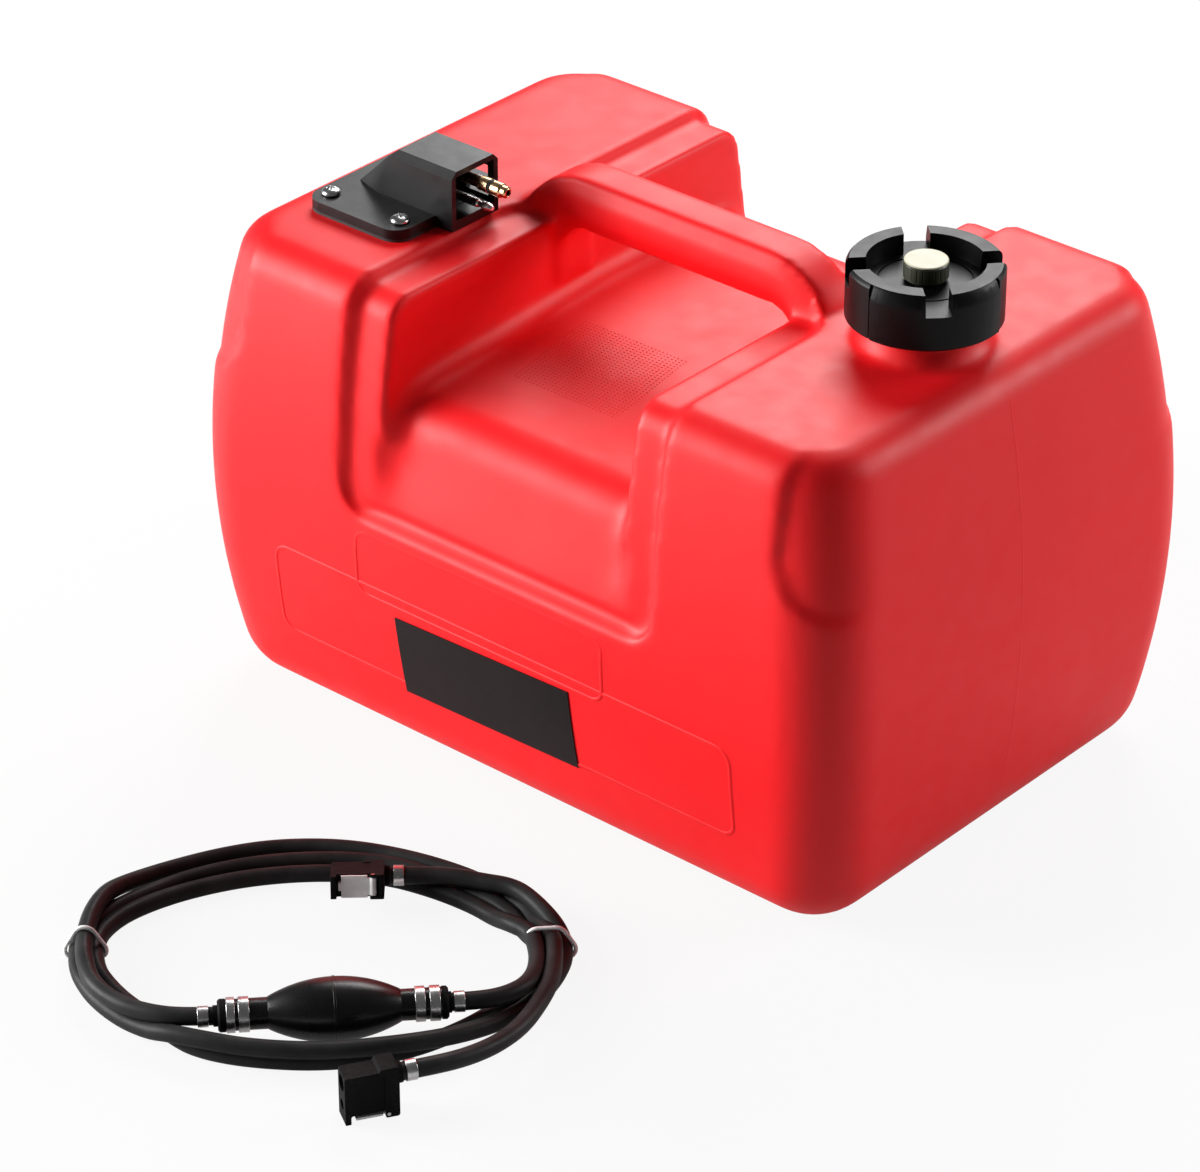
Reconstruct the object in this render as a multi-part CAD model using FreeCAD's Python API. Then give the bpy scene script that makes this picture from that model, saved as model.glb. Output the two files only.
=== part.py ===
"""Portable outboard fuel tank with its filler cap, fuel outlet and primer hose set.

Millimetres, +Z up.  The origin is the middle of the tank's base, +X runs along the
tank to the filler end and -Y is the front.  Every sub-part is written to
parts/NAME.step in its place.
"""
import FreeCAD
import Part
import math
import os

from FreeCAD import Placement, Rotation
from FreeCAD import Vector as V

# ---------------------------------------------------------------- driving dimensions
# Tank body: length runs along X, width along Y.
HEIGHT = 221.0                 # flat tops of the two end blocks
BULGE_Z = 99.0                 # height at which the bowed sides are widest
LENGTH_HALF = (168.5, 180.0, 165.7)    # half length at the base, the bulge and the top
WIDTH_HALF = (113.0, 126.2, 115.5)     # half width at the same heights
CORNER_R = 30.0                # upright corners
TOP_EDGE_R = 17.0
BASE_EDGE_R = 28.0
WALL = 3.0                     # moulded wall
INNER_CORNER_EXTRA = 3.2       # thicker wall behind the upright corners
INNER_TOP_CHAMFER = 8.5
INNER_BASE_CHAMFER = 15.0

# Saddle between the end blocks.
STEP = 4.5                     # shallow step that frames the saddle
STEP_HALF = 86.0               # half width of the framed area along X
STEP_BASE_Z = 116.0            # lower edge of the frame on the front and back
SADDLE_HALF = 66.0             # half width of the deep part of the saddle
SADDLE_Z = 178.0               # flat part of the saddle floor
SADDLE_FRONT_Z = 170.0         # floor height where it rolls over the front
SADDLE_PANEL_Y = 113.0         # recessed panel below the crest
SADDLE_PANEL_Z = 131.0         # lower edge of that panel
SADDLE_FOOT_R = 10.0
CREST_R = 20.0

SADDLE_FLAT_Y = 17.0           # the floor is flat behind this line
LIP_R = 12.0                   # hollow between panel and lower lip
LIP_RISE = 10.0                # fall of the lip towards the front
FRAME_BASE_R = 14.0
FRAME_RIB_R = 16.0

# Handle bridging the saddle.
HANDLE_TOP_Z = 240.0
HANDLE_THICK = 24.0
HANDLE_WIDTH = 35.0
HANDLE_BEND_R = 26.0           # centreline radius where the bar turns down
HANDLE_EDGE_R = 8.0
RIB_FRONT_Y = -10.0            # raised flat along the handle's top
RIB_BACK_Y = 11.0

# Relieved upper corners.
RELIEF_DEPTH = 2.6
RELIEF_X = 146.0
RELIEF_Z = 155.0
RELIEF_R = 30.0

# Filler neck and cap.
NECK_X = 124.0
NECK_R = 25.0
NECK_BORE_R = 21.0
NECK_TOP_Z = 243.0
NECK_FLARE_R = 29.0
NECK_FLARE_H = 7.0

CAP_R = 34.0
CAP_TOP_R = 32.2
CAP_BASE_Z = 233.0
CAP_TOP_Z = 257.0
CAP_BORE_R = 25.3
CAP_DECK_Z = 248.5             # floor of the crown
CAP_CROWN_R = 24.5             # inside of the crown
CAP_GRIP_STEP = 1.4            # depth of the relieved stretches of the grip
CAP_NOTCH = 10.8
CAP_NOTCH_TURN = -43.0         # degrees, first notch from +X
CAP_GRIP_REACH = (36.0, 38.0)  # degrees of relieved grip on each side of every other notch
GASKET_THICK = 2.0
VENT_KNOB_R = 9.3
VENT_TOP_Z = 257.8
VENT_STEM_R = 3.0
VENT_SEAL_THICK = 1.0
VENT_FLUTES = 24

# Fuel outlet on the left block.
OUTLET_X, OUTLET_Y = -121.0, -45.5
PLATE_X, PLATE_Y = 55.0, 68.0
PLATE_THICK = 4.5
PLATE_CORNER_R = 9.0
OUTLET_GASKET = 1.2
SCREW_X, SCREW_Y = 20.0, 24.5  # half spacings
SCREW_HEAD_R = 4.2
SCREW_HEAD_H = 3.0
SCREW_SHANK_R = 2.0
SCREW_LENGTH = 12.0
INSERT_R = 3.6
INSERT_DEPTH = 8.0
BOSS_R = 6.5
BOSS_DEPTH = 11.0
HOOD_Y = -41.5
HOOD_WIDTH = 29.0
HOOD_FRONT_X = -84.0
HOOD_REAR_X = -117.0
HOOD_TOP_Z = 249.0
HOOD_WALL = 2.6
HOOD_DEPTH = 20.0
HOOD_CHAMFER = 3.0
WEB_FOOT_X = -141.0
WEB_BREAK_X = -129.0
NIPPLE_Z = 241.0
NIPPLE_R = 2.6
NIPPLE_BARREL_R = 3.3
HEX_R = 4.6
HEX_THICK = 4.0
SEAL_BACK = 8.0                # front of the seal groove behind the tip
SEAL_WIDTH = 2.0
NIPPLE_TIP_X = -65.0
PIN_DROP = 10.2                # guide pin below the nipple
PIN_R = 1.95
PIN_TIP_X = -74.0
FUEL_BORE_R = 1.4
PICKUP_X = -110.0
PICKUP_R = 4.0
SPIGOT_R = 7.5
FILTER_R = 6.5
FILTER_LENGTH = 24.0
PICKUP_CLEAR = 5.0             # filter above the tank's inner floor

# Hose set lying in front of the tank.  Its plan is given in a floor frame: s runs along
# the coil's long axis and t towards the front.
HOSE_R = 3.75
HOSE_BORE_R = 2.3
BARB_LENGTH = 6.0
BARB_BORE_R = 1.4
CLAMP_R = 4.3
CLAMP_WIDTH = 4.4
COIL_X, COIL_Y = 15.6, -249.6
COIL_TURN = 41.0               # degrees from +X to the coil's long axis
COIL_HALF_S, COIL_HALF_T = 102.5, 80.0
COIL_MIDDLE_T = 4.0
COIL_HEIGHT = 14.0             # two hoses lying on each other
COIL_EDGE_R = 3.5
COIL_INSIDE = ((-86, -10), (-64, -34), (-26, -46), (36, -47.5), (68, -34), (86, -6),
               (84, 28), (60, 62), (0, 75), (-60, 67.5), (-86, 26))
COIL_INSIDE_R = 38.0
TIE_S = 94.5                   # the two ties on the coil's long sides
TIE_WIDTH, TIE_THICK = 1.6, 0.8
TIE_HALF = 7.9

BULB_S, BULB_T, BULB_Z = 9.0, 58.2, 13.4
BULB_TURN = 5.9                # degrees from the coil's long axis
BULB_R = 13.1
BULB_END_R = 6.6
BULB_HALF = 26.4
BULB_WALL = 2.2
BULB_NECK_R = 6.4
FITTING_R = 4.2                # end fittings inside the bulb's necks
FITTING_FLANGE_R = 6.7
FITTING_START = 24.0
CHAMBER_END = 33.5
BALL_R = 2.6
INLET_BALL_AT, OUTLET_BALL_AT = 31.2, 27.0
BALL_CHAMBER_R = 3.0
BAND_R = 7.2
# From the bulb's middle: end of its neck, end of the fitting's flange, start of the hose, clamp.
INLET_END = (42.8, 45.4, 46.6, 47.5)
OUTLET_END = (43.2, 46.4, 48.2, 50.0)
INLET_BANDS = ((32.0, 36.0), (37.8, 42.0))
OUTLET_BANDS = ((33.9, 38.2), (39.6, 43.0))

# Fuel connectors: u runs from the socket face to the hose, v from the pin to the fuel bore.
BODY_LENGTH = 22.0
BODY_WIDTH = 9.6
REAR_WIDTH = 10.4
REAR_START = 16.2
BODY_TOP = 4.6
HUMP_TOP = 6.2
BODY_BOTTOM = -13.6
FLANGE_FOOT = -17.5
FLANGE_THICK = 2.4
REAR_FOOT = -17.0
SOCKET_R = 3.5
SOCKET_DEPTH = 12.8             # full bore; the nose seat lies behind it
NOSE_R = 2.9
NOSE_DEPTH = 15.4
SEAT_R = 2.2
SEAT_THICK = 0.8
CHAMBER_R = 3.4
CHAMBER_REAR = 21.2
PIN_SOCKET_R = 2.25
PIN_SOCKET_DEPTH = 14.0
HOSE_START = 24.0
VALVE_R = 3.0
VALVE_FACE = 16.25
LATCH_U, LATCH_V = 17.5, -15.5     # hinge of the latch
LATCH_PIN_R = 0.75
LATCH_EYE_R = 1.4
LATCH_HALF = 3.7
LATCH_WIDE_HALF = 4.7
LATCH_HALF_THICK = 0.5
LATCH_NOSE = (3.2, 4.6)        # narrow front of the latch, with its tab
LATCH_NOSE_HALF = 1.7
LATCH_TAB_THICK = 1.0
LATCH_SLOT_END = 19.8
TAB_SLOT = (2.8, 5.0)
TAB_SLOT_HALF = 2.0
SPRING_R = 2.4
SPRING_TURNS = 2.5
# Place of each connector: s, t and z of its socket face, its turn and its roll in degrees.
CONNECTOR_A = (3.2, -38.5, 11.25, 1.5, -108.0)
CONNECTOR_B = (14.3, 112.8, 17.5, 18.0, 0.0)

# Free stretches of the hose between the fittings and the coil, in s, t and z.
TAIL_A = ((27.19, -39.13, 11.25), (39.99, -39.46, 11.25), (53.5, -38.6, 11.3), (66.0, -34.8, 11.0))
TAIL_INLET = ((55.35, 53.41, 13.4), (66.79, 52.23, 13.4), (78.1, 48.3, 12.6))
TAIL_OUTLET = ((-38.94, 63.15, 13.4), (-51.48, 64.45, 13.4), (-64.0, 62.2, 12.8))
TAIL_B = ((37.13, 105.38, 17.5), (50.06, 101.18, 17.5), (62.5, 93.0, 15.4), (74.2, 81.0, 12.9),
          (83.5, 66.5, 11.0), (89.3, 50.6, 10.4), (93.4, 34.0, 10.2))

os.makedirs("parts", exist_ok=True)


# ---------------------------------------------------------------- geometry helpers
def rounded_edges(points, radii, closed=False):
    """Straight runs joined by tangent arcs; radii gives one radius per inner corner."""
    corners = len(points) if closed else len(points) - 2
    first = 0 if closed else 1
    edges, start = [], None if closed else points[0]
    arcs = []
    for index in range(first, first + corners):
        before, corner = points[index - 1], points[index % len(points)]
        after = points[(index + 1) % len(points)]
        incoming = (before - corner).normalize()
        outgoing = (after - corner).normalize()
        opening = incoming.getAngle(outgoing)
        radius = radii[index - first]
        reach = radius / math.tan(opening / 2.0)
        middle = (incoming + outgoing).normalize()
        centre = corner + middle * (radius / math.sin(opening / 2.0))
        arcs.append((corner + incoming * reach, centre - middle * radius, corner + outgoing * reach))
    if closed:
        start = arcs[-1][2]
    for entry, crown, leave in arcs:
        if start.distanceToPoint(entry) > 1e-6:
            edges.append(Part.LineSegment(start, entry).toShape())
        if entry.distanceToPoint(leave) > 1e-6:
            edges.append(Part.Arc(entry, crown, leave).toShape())
        start = leave
    if not closed:
        edges.append(Part.LineSegment(start, points[-1]).toShape())
    return edges


def prism(points, radii, direction):
    """Closed outline with rounded corners, extruded along a vector."""
    wire = Part.Wire(rounded_edges(points, radii, closed=True))
    return Part.Face(wire).extrude(direction)


def box(low, high):
    """Box between two opposite corners."""
    size = V(*high) - V(*low)
    return Part.makeBox(size.x, size.y, size.z, V(*low))


def edges_where(shape, test):
    """Edges whose sampled points all pass a test."""
    found = []
    for edge in shape.Edges:
        spots = edge.discretize(5)
        if all(test(spot) for spot in spots):
            found.append(edge)
    return found


def write(name, shape):
    """Export one sub-part and report its volume and validity."""
    shape.exportStep("parts/%s.step" % name)
    print("%-24s %9.1f mm3  solids %d  valid %s"
          % (name, shape.Volume, len(shape.Solids), shape.isValid()))


# ---------------------------------------------------------------- tank body
def bowed_slab(halves, across, reach, inset):
    """Slab with two bowed sides; `across` is the unit direction between the sides."""
    low, mid, high = (half - inset for half in halves)
    top, base = HEIGHT - inset, inset
    along = V(-across.y, across.x, 0)

    def spot(side, z):
        return across * side + V(0, 0, z) - along * reach

    right = Part.Arc(spot(low, base), spot(mid, BULGE_Z), spot(high, top)).toShape()
    left = Part.Arc(spot(-high, top), spot(-mid, BULGE_Z), spot(-low, base)).toShape()
    lid = Part.LineSegment(spot(high, top), spot(-high, top)).toShape()
    floor = Part.LineSegment(spot(-low, base), spot(low, base)).toShape()
    return Part.Face(Part.Wire([right, lid, left, floor])).extrude(along * (2 * reach))


def body_form(inset):
    """Bowed block with rounded upright corners, top and base edges."""
    reach = LENGTH_HALF[1] + 20
    ends = bowed_slab(LENGTH_HALF, V(1, 0, 0), reach, inset)
    sides = bowed_slab(WIDTH_HALF, V(0, 1, 0), reach, inset)
    block = ends.common(sides)
    top, base = HEIGHT - inset, inset
    upright = edges_where(block, lambda p: abs(p.x) > 150 and abs(p.y) > 90)
    upright = [edge for edge in upright if edge.BoundBox.ZLength > 100]
    block = block.makeFillet(CORNER_R - inset, upright)
    block = block.makeFillet(TOP_EDGE_R - inset, edges_where(block, lambda p: abs(p.z - top) < 0.01))
    return block.makeFillet(BASE_EDGE_R - inset, edges_where(block, lambda p: abs(p.z - base) < 0.01))


def inner_block(inset):
    """Inside of the mould wall: bowed block with plain chamfered corners and edges."""
    reach = LENGTH_HALF[1] + 20
    turn_in = CORNER_R * (2 - math.sqrt(2))
    diagonal = [(x + y - turn_in) / math.sqrt(2) - INNER_CORNER_EXTRA
                for x, y in zip(LENGTH_HALF, WIDTH_HALF)]
    block = None
    for halves, across in ((LENGTH_HALF, V(1, 0, 0)), (WIDTH_HALF, V(0, 1, 0)),
                           (diagonal, V(1, 1, 0).normalize()), (diagonal, V(1, -1, 0).normalize())):
        slab = bowed_slab(halves, across, reach, inset)
        for level, leg in ((HEIGHT - inset, INNER_TOP_CHAMFER), (inset, INNER_BASE_CHAMFER)):
            rims = edges_where(slab, lambda p: abs(p.z - level) < 0.01)
            slab = slab.makeChamfer(leg, [edge for edge in rims if edge.Length > 1.9 * reach])
        block = slab if block is None else block.common(slab)
    return block


def frame_region(side, grow, soft=1.0):
    """Area inside the shallow frame, in front of (-1) or behind (+1) the handle's rib."""
    half, low = STEP_HALF + grow, STEP_BASE_Z - grow
    rib = abs(RIB_FRONT_Y if side < 0 else RIB_BACK_Y) - grow
    outer, over = 200.0, HEIGHT + 80
    plan = [V(-half, side * outer, 0), V(half, side * outer, 0),
            V(half, side * rib, 0), V(-half, side * rib, 0)]
    face_on = [V(-half, 0, low), V(half, 0, low), V(half, 0, over), V(-half, 0, over)]
    rib_r, base_r = FRAME_RIB_R * soft, FRAME_BASE_R * soft
    seen_from_above = prism(plan, [0, 0, rib_r, rib_r], V(0, 0, over))
    seen_from_front = prism(face_on, [base_r, base_r, 0, 0], V(0, side * outer, 0))
    return seen_from_above.common(seen_from_front)


def saddle_space(grow, soft=1.0):
    """Deep part of the saddle: flat under the handle, falling and rolling over at the front."""
    floor, front = SADDLE_Z - grow, SADDLE_FRONT_Z - grow
    panel_y, panel_z = SADDLE_PANEL_Y - grow, SADDLE_PANEL_Z - grow
    outer, over = 200.0, HEIGHT + 60
    half = SADDLE_HALF + grow
    points = [V(-half, -outer, panel_z - LIP_RISE), V(-half, -panel_y, panel_z),
              V(-half, -panel_y, front), V(-half, SADDLE_FLAT_Y, floor),
              V(-half, panel_y, floor), V(-half, panel_y, panel_z),
              V(-half, outer, panel_z - LIP_RISE), V(-half, outer, over), V(-half, -outer, over)]
    crest_r = CREST_R - grow
    radii = [0, LIP_R * soft, crest_r, 30.0 * soft, crest_r, LIP_R * soft, 0, 0, 0]
    space = prism(points, radii, V(2 * half, 0, 0))
    if not soft:
        return space
    sides = edges_where(space, lambda p: abs(abs(p.x) - half) < 0.01 and abs(p.y) < outer - 1
                        and p.z < over - 1)
    return space.makeFillet(SADDLE_FOOT_R, sides)


def with_saddle(block, core, grow, soft=1.0):
    """Block with the shallow frame, down to the core, and the deep saddle taken out."""
    for side in (-1, 1):
        block = block.cut(frame_region(side, grow, soft).cut(core))
    return block.cut(saddle_space(grow, soft))


def handle_bar(thin):
    """Rounded bar swept along an arch whose legs run down into the end blocks."""
    leg = SADDLE_HALF + HANDLE_THICK / 2 - 2
    middle_z = HANDLE_TOP_Z - HANDLE_THICK / 2
    foot_z = SADDLE_Z + 10
    centre_y = (RIB_FRONT_Y + RIB_BACK_Y) / 2
    path = [V(-leg, centre_y, foot_z), V(-leg, centre_y, middle_z),
            V(leg, centre_y, middle_z), V(leg, centre_y, foot_z)]
    spine = Part.Wire(rounded_edges(path, [HANDLE_BEND_R, HANDLE_BEND_R]))
    half_x, half_y = HANDLE_THICK / 2 - thin, HANDLE_WIDTH / 2 - thin
    corners = [path[0] + V(x * half_x, y * half_y, 0) for x, y in ((-1, -1), (1, -1), (1, 1), (-1, 1))]
    section = Part.Wire(rounded_edges(corners, [HANDLE_EDGE_R - thin] * 4, closed=True))
    return spine.makePipeShell([section], True, False)


def stepped_handle():
    """Handle bar with a raised flat rib along its top."""
    bar, core = handle_bar(0), handle_bar(STEP)
    for side in (-1, 1):
        bar = bar.cut(frame_region(side, 0).cut(core))
    return bar


def corner_relief(side_x, side_y):
    """Shallow relief that rounds the upper half of one upright corner."""
    near, far, over = side_x * RELIEF_X, side_x * 220, HEIGHT + 40
    points = [V(near, 0, RELIEF_Z), V(far, 0, RELIEF_Z), V(far, 0, over), V(near, 0, over)]
    outline = prism(points, [RELIEF_R, 0, 0, RELIEF_R], V(0, side_y * 200, 0))
    core = body_form(0)
    core.translate(V(0, -side_y * RELIEF_DEPTH, 0))
    return outline.cut(core)


def turned(points, axis_at, direction=V(0, 0, 1)):
    """Solid turned from an outline of (radius, height) points about an upright or level axis."""
    wire = Part.makePolygon([V(r, 0, z) for r, z in points] + [V(points[0][0], 0, points[0][1])])
    shape = Part.Face(wire).revolve(V(0, 0, 0), V(0, 0, 1), 360)
    shape.Placement = Placement(axis_at, Rotation(V(0, 0, 1), direction))
    return shape


def cylinder(radius, start, end):
    """Cylinder between two points."""
    return Part.makeCylinder(radius, start.distanceToPoint(end), start, end - start)


def screw_spots():
    """Plan positions of the four outlet screws."""
    return [(OUTLET_X + x * SCREW_X, OUTLET_Y + y * SCREW_Y) for x in (-1, 1) for y in (-1, 1)]


def filler_neck():
    """Turned neck with a flared root."""
    root = HEIGHT - WALL
    return turned([(0, root), (NECK_FLARE_R, root), (NECK_FLARE_R, HEIGHT),
                   (NECK_FLARE_R - 1.5, HEIGHT + 2.5), (NECK_R, HEIGHT + NECK_FLARE_H),
                   (NECK_R, NECK_TOP_Z - 1), (NECK_R - 1, NECK_TOP_Z), (0, NECK_TOP_Z)],
                  V(NECK_X, 0, 0))


def tank_shell():
    """Hollow tank with saddle, handle, neck, relieved corners and screw bosses."""
    tank = with_saddle(body_form(0), body_form(STEP), 0).fuse(stepped_handle())
    for side_x in (-1, 1):
        for side_y in (-1, 1):
            tank = tank.cut(corner_relief(side_x, side_y))
    tank = tank.fuse(filler_neck())
    cavity = with_saddle(inner_block(WALL), inner_block(WALL + STEP), WALL, 0)
    for x, y in screw_spots():
        cavity = cavity.cut(cylinder(BOSS_R, V(x, y, HEIGHT), V(x, y, HEIGHT - BOSS_DEPTH)))
    tank = tank.cut(cavity)
    tank = tank.cut(cylinder(NECK_BORE_R, V(NECK_X, 0, HEIGHT - 20), V(NECK_X, 0, NECK_TOP_Z + 5)))
    tank = tank.cut(cylinder(SPIGOT_R + 0.3, V(PICKUP_X, HOOD_Y, HEIGHT - 10), V(PICKUP_X, HOOD_Y, HEIGHT + 5)))
    for x, y in screw_spots():
        tank = tank.cut(cylinder(INSERT_R, V(x, y, HEIGHT - INSERT_DEPTH), V(x, y, HEIGHT + 1)))
    return tank


# ---------------------------------------------------------------- filler cap and vent
def sector(start, end, inner, outer, low, high):
    """Ring sector between two angles in degrees about the cap's axis."""
    ring = Part.makeCylinder(outer, high - low, V(0, 0, low), V(0, 0, 1), end - start)
    ring.rotate(V(0, 0, 0), V(0, 0, 1), start)
    return ring.cut(Part.makeCylinder(inner, high - low, V(0, 0, low)))


def filler_cap():
    """Cap with a four-notch crown, a stepped grip and a centre hole for the vent stem."""
    cap = turned([(0, CAP_BASE_Z), (CAP_R - 1, CAP_BASE_Z), (CAP_R, CAP_BASE_Z + 1),
                  (CAP_R, CAP_TOP_Z - 6), (CAP_TOP_R, CAP_TOP_Z - 1), (CAP_TOP_R - 1, CAP_TOP_Z),
                  (CAP_CROWN_R, CAP_TOP_Z), (CAP_CROWN_R - 0.8, CAP_DECK_Z), (0, CAP_DECK_Z)], V(0, 0, 0))
    ceiling = NECK_TOP_Z + GASKET_THICK
    cap = cap.cut(Part.makeCylinder(CAP_BORE_R, ceiling - CAP_BASE_Z + 1, V(0, 0, CAP_BASE_Z - 1)))
    cap = cap.cut(Part.makeCylinder(VENT_STEM_R + 0.08, 20, V(0, 0, ceiling - 1)))
    for quarter in range(4):
        turn = CAP_NOTCH_TURN + 90 * quarter
        notch = Part.makeBox(30, CAP_NOTCH, 20, V(CAP_CROWN_R - 4, -CAP_NOTCH / 2, CAP_DECK_Z))
        notch.rotate(V(0, 0, 0), V(0, 0, 1), turn)
        cap = cap.cut(notch)
        if quarter % 2:
            cap = cap.cut(sector(turn - CAP_GRIP_REACH[0], turn + CAP_GRIP_REACH[1], CAP_R - CAP_GRIP_STEP,
                                 CAP_R + 4, CAP_BASE_Z - 1, CAP_TOP_Z + 1))
    cap.translate(V(NECK_X, 0, 0))
    return cap


def cap_gasket():
    """Flat sealing ring between the neck's rim and the cap."""
    return turned([(NECK_BORE_R - 0.5, NECK_TOP_Z), (CAP_BORE_R - 0.4, NECK_TOP_Z),
                   (CAP_BORE_R - 0.4, NECK_TOP_Z + GASKET_THICK),
                   (NECK_BORE_R - 0.5, NECK_TOP_Z + GASKET_THICK)], V(NECK_X, 0, 0))


def vent_knob():
    """Fluted knob of the air vent, hollowed for its top disc."""
    base = CAP_DECK_Z + VENT_SEAL_THICK
    knob = turned([(VENT_STEM_R, base), (VENT_KNOB_R - 0.8, base), (VENT_KNOB_R, base + 0.8),
                   (VENT_KNOB_R, VENT_TOP_Z - 1.2), (VENT_KNOB_R - 0.6, VENT_TOP_Z - 0.6),
                   (VENT_STEM_R, VENT_TOP_Z - 0.6)], V(0, 0, 0))
    for index in range(VENT_FLUTES):
        angle = 2 * math.pi * index / VENT_FLUTES
        spot = V(math.cos(angle), math.sin(angle), 0) * (VENT_KNOB_R + 0.35)
        knob = knob.cut(Part.makeBox(0.9, 0.9, VENT_TOP_Z - base - 2.4,
                                     spot + V(-0.45, -0.45, base + 1.2)))
    knob.translate(V(NECK_X, 0, 0))
    return knob


def vent_disc():
    """Light disc on top of the vent knob."""
    return turned([(0, VENT_TOP_Z - 0.6), (VENT_KNOB_R - 0.2, VENT_TOP_Z - 0.6),
                   (VENT_KNOB_R - 0.2, VENT_TOP_Z - 0.3), (VENT_KNOB_R - 0.6, VENT_TOP_Z),
                   (0, VENT_TOP_Z)], V(NECK_X, 0, 0))


def vent_screw():
    """Brass stem of the vent with a pointed end below the cap."""
    ceiling = NECK_TOP_Z + GASKET_THICK
    return turned([(0, ceiling - 9), (0.8, ceiling - 9), (VENT_STEM_R - 0.8, ceiling - 5),
                   (VENT_STEM_R, ceiling - 4.4), (VENT_STEM_R, VENT_TOP_Z - 0.6),
                   (0, VENT_TOP_Z - 0.6)], V(NECK_X, 0, 0))


def vent_seal():
    """Sealing washer under the vent knob."""
    return turned([(VENT_STEM_R + 0.3, CAP_DECK_Z), (VENT_KNOB_R - 2.5, CAP_DECK_Z),
                   (VENT_KNOB_R - 2.5, CAP_DECK_Z + VENT_SEAL_THICK),
                   (VENT_STEM_R + 0.3, CAP_DECK_Z + VENT_SEAL_THICK)], V(NECK_X, 0, 0))


# ---------------------------------------------------------------- fuel outlet
PLATE_BASE_Z = HEIGHT + OUTLET_GASKET
PLATE_TOP_Z = PLATE_BASE_Z + PLATE_THICK
PIN_Z = NIPPLE_Z - PIN_DROP
HOOD_BACK_X = HOOD_FRONT_X - HOOD_DEPTH


def plate_outline(z, height):
    """Rounded rectangle of the outlet's flange."""
    corners = [V(OUTLET_X + x * PLATE_X / 2, OUTLET_Y + y * PLATE_Y / 2, z)
               for x, y in ((-1, -1), (1, -1), (1, 1), (-1, 1))]
    return prism(corners, [PLATE_CORNER_R] * 4, V(0, 0, height))


def outlet_housing():
    """Flange with a hood over the fuel fittings, a sloping web and the fuel gallery."""
    low_y, high_y = HOOD_Y - HOOD_WIDTH / 2, HOOD_Y + HOOD_WIDTH / 2
    side = [V(HOOD_FRONT_X, low_y, HEIGHT + 0.6), V(HOOD_FRONT_X, low_y, HOOD_TOP_Z),
            V(HOOD_REAR_X, low_y, HOOD_TOP_Z), V(WEB_FOOT_X, low_y, PLATE_TOP_Z),
            V(WEB_FOOT_X, low_y, HEIGHT + 0.6)]
    hood = prism(side, [0] * 5, V(0, HOOD_WIDTH, 0))
    hood = hood.makeChamfer(HOOD_CHAMFER, edges_where(hood, lambda p: abs(p.z - HOOD_TOP_Z) < 0.01
                            and abs(abs(p.y - HOOD_Y) - HOOD_WIDTH / 2) < 0.01))
    for y, inward in ((low_y, 1), (high_y, -1)):
        corner = [V(HOOD_REAR_X, y, HOOD_TOP_Z + 6), V(WEB_BREAK_X, y, HEIGHT),
                  V(WEB_FOOT_X - 6, y, HEIGHT), V(WEB_FOOT_X - 6, y, HOOD_TOP_Z + 6)]
        wedge = prism(corner, [0] * 4, V(0, -inward * 4, 0))
        wedge.rotate(corner[1], corner[0] - corner[1], -inward * 16)
        hood = hood.cut(wedge)
    hood = hood.cut(box((HOOD_REAR_X - 40, low_y - 5, HEIGHT), (HOOD_FRONT_X + 1, high_y + 5, PLATE_BASE_Z))
                    .cut(box((OUTLET_X + PLATE_X / 2 + 0.4, low_y - 5, HEIGHT),
                             (HOOD_FRONT_X + 1, high_y + 5, PLATE_BASE_Z))))
    floor_z = PIN_Z - PIN_R - 2.6
    hood = hood.cut(box((HOOD_BACK_X, low_y + HOOD_WALL, floor_z),
                        (HOOD_FRONT_X + 1, high_y - HOOD_WALL, HOOD_TOP_Z - HOOD_WALL)))
    hood = hood.cut(box((HOOD_BACK_X + 4, high_y - HOOD_WALL - 1, floor_z + 2),
                        (HOOD_FRONT_X - 3.5, high_y + 1, HOOD_TOP_Z - 6.5)))
    housing = plate_outline(PLATE_BASE_Z, PLATE_THICK).fuse(hood)
    housing = housing.fuse(cylinder(SPIGOT_R, V(PICKUP_X, HOOD_Y, PLATE_BASE_Z + 1),
                                    V(PICKUP_X, HOOD_Y, HEIGHT - 7)))
    for x, y in screw_spots():
        housing = housing.cut(cylinder(SCREW_SHANK_R + 0.25, V(x, y, HEIGHT), V(x, y, PLATE_TOP_Z + 1)))
    housing = housing.cut(cylinder(2.0, V(HOOD_BACK_X + 1, HOOD_Y, NIPPLE_Z), V(PICKUP_X, HOOD_Y, NIPPLE_Z)))
    housing = housing.cut(cylinder(2.0, V(PICKUP_X, HOOD_Y, NIPPLE_Z), V(PICKUP_X, HOOD_Y, HEIGHT)))
    housing = housing.cut(cylinder(PICKUP_R, V(PICKUP_X, HOOD_Y, HEIGHT - 10), V(PICKUP_X, HOOD_Y, HEIGHT + 4)))
    housing = housing.cut(cylinder(NIPPLE_R, V(HOOD_BACK_X + 1, HOOD_Y, NIPPLE_Z),
                                   V(HOOD_BACK_X - 4, HOOD_Y, NIPPLE_Z)))
    return housing.cut(cylinder(PIN_R, V(HOOD_BACK_X + 1, HOOD_Y, PIN_Z), V(HOOD_BACK_X - 4, HOOD_Y, PIN_Z)))


def outlet_gasket():
    """Flat gasket under the outlet's flange."""
    gasket = plate_outline(HEIGHT, OUTLET_GASKET)
    gasket = gasket.cut(cylinder(SPIGOT_R + 0.3, V(PICKUP_X, HOOD_Y, HEIGHT - 1), V(PICKUP_X, HOOD_Y, HEIGHT + 5)))
    for x, y in screw_spots():
        gasket = gasket.cut(cylinder(SCREW_SHANK_R + 0.3, V(x, y, HEIGHT - 1), V(x, y, HEIGHT + 5)))
    return gasket


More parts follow.
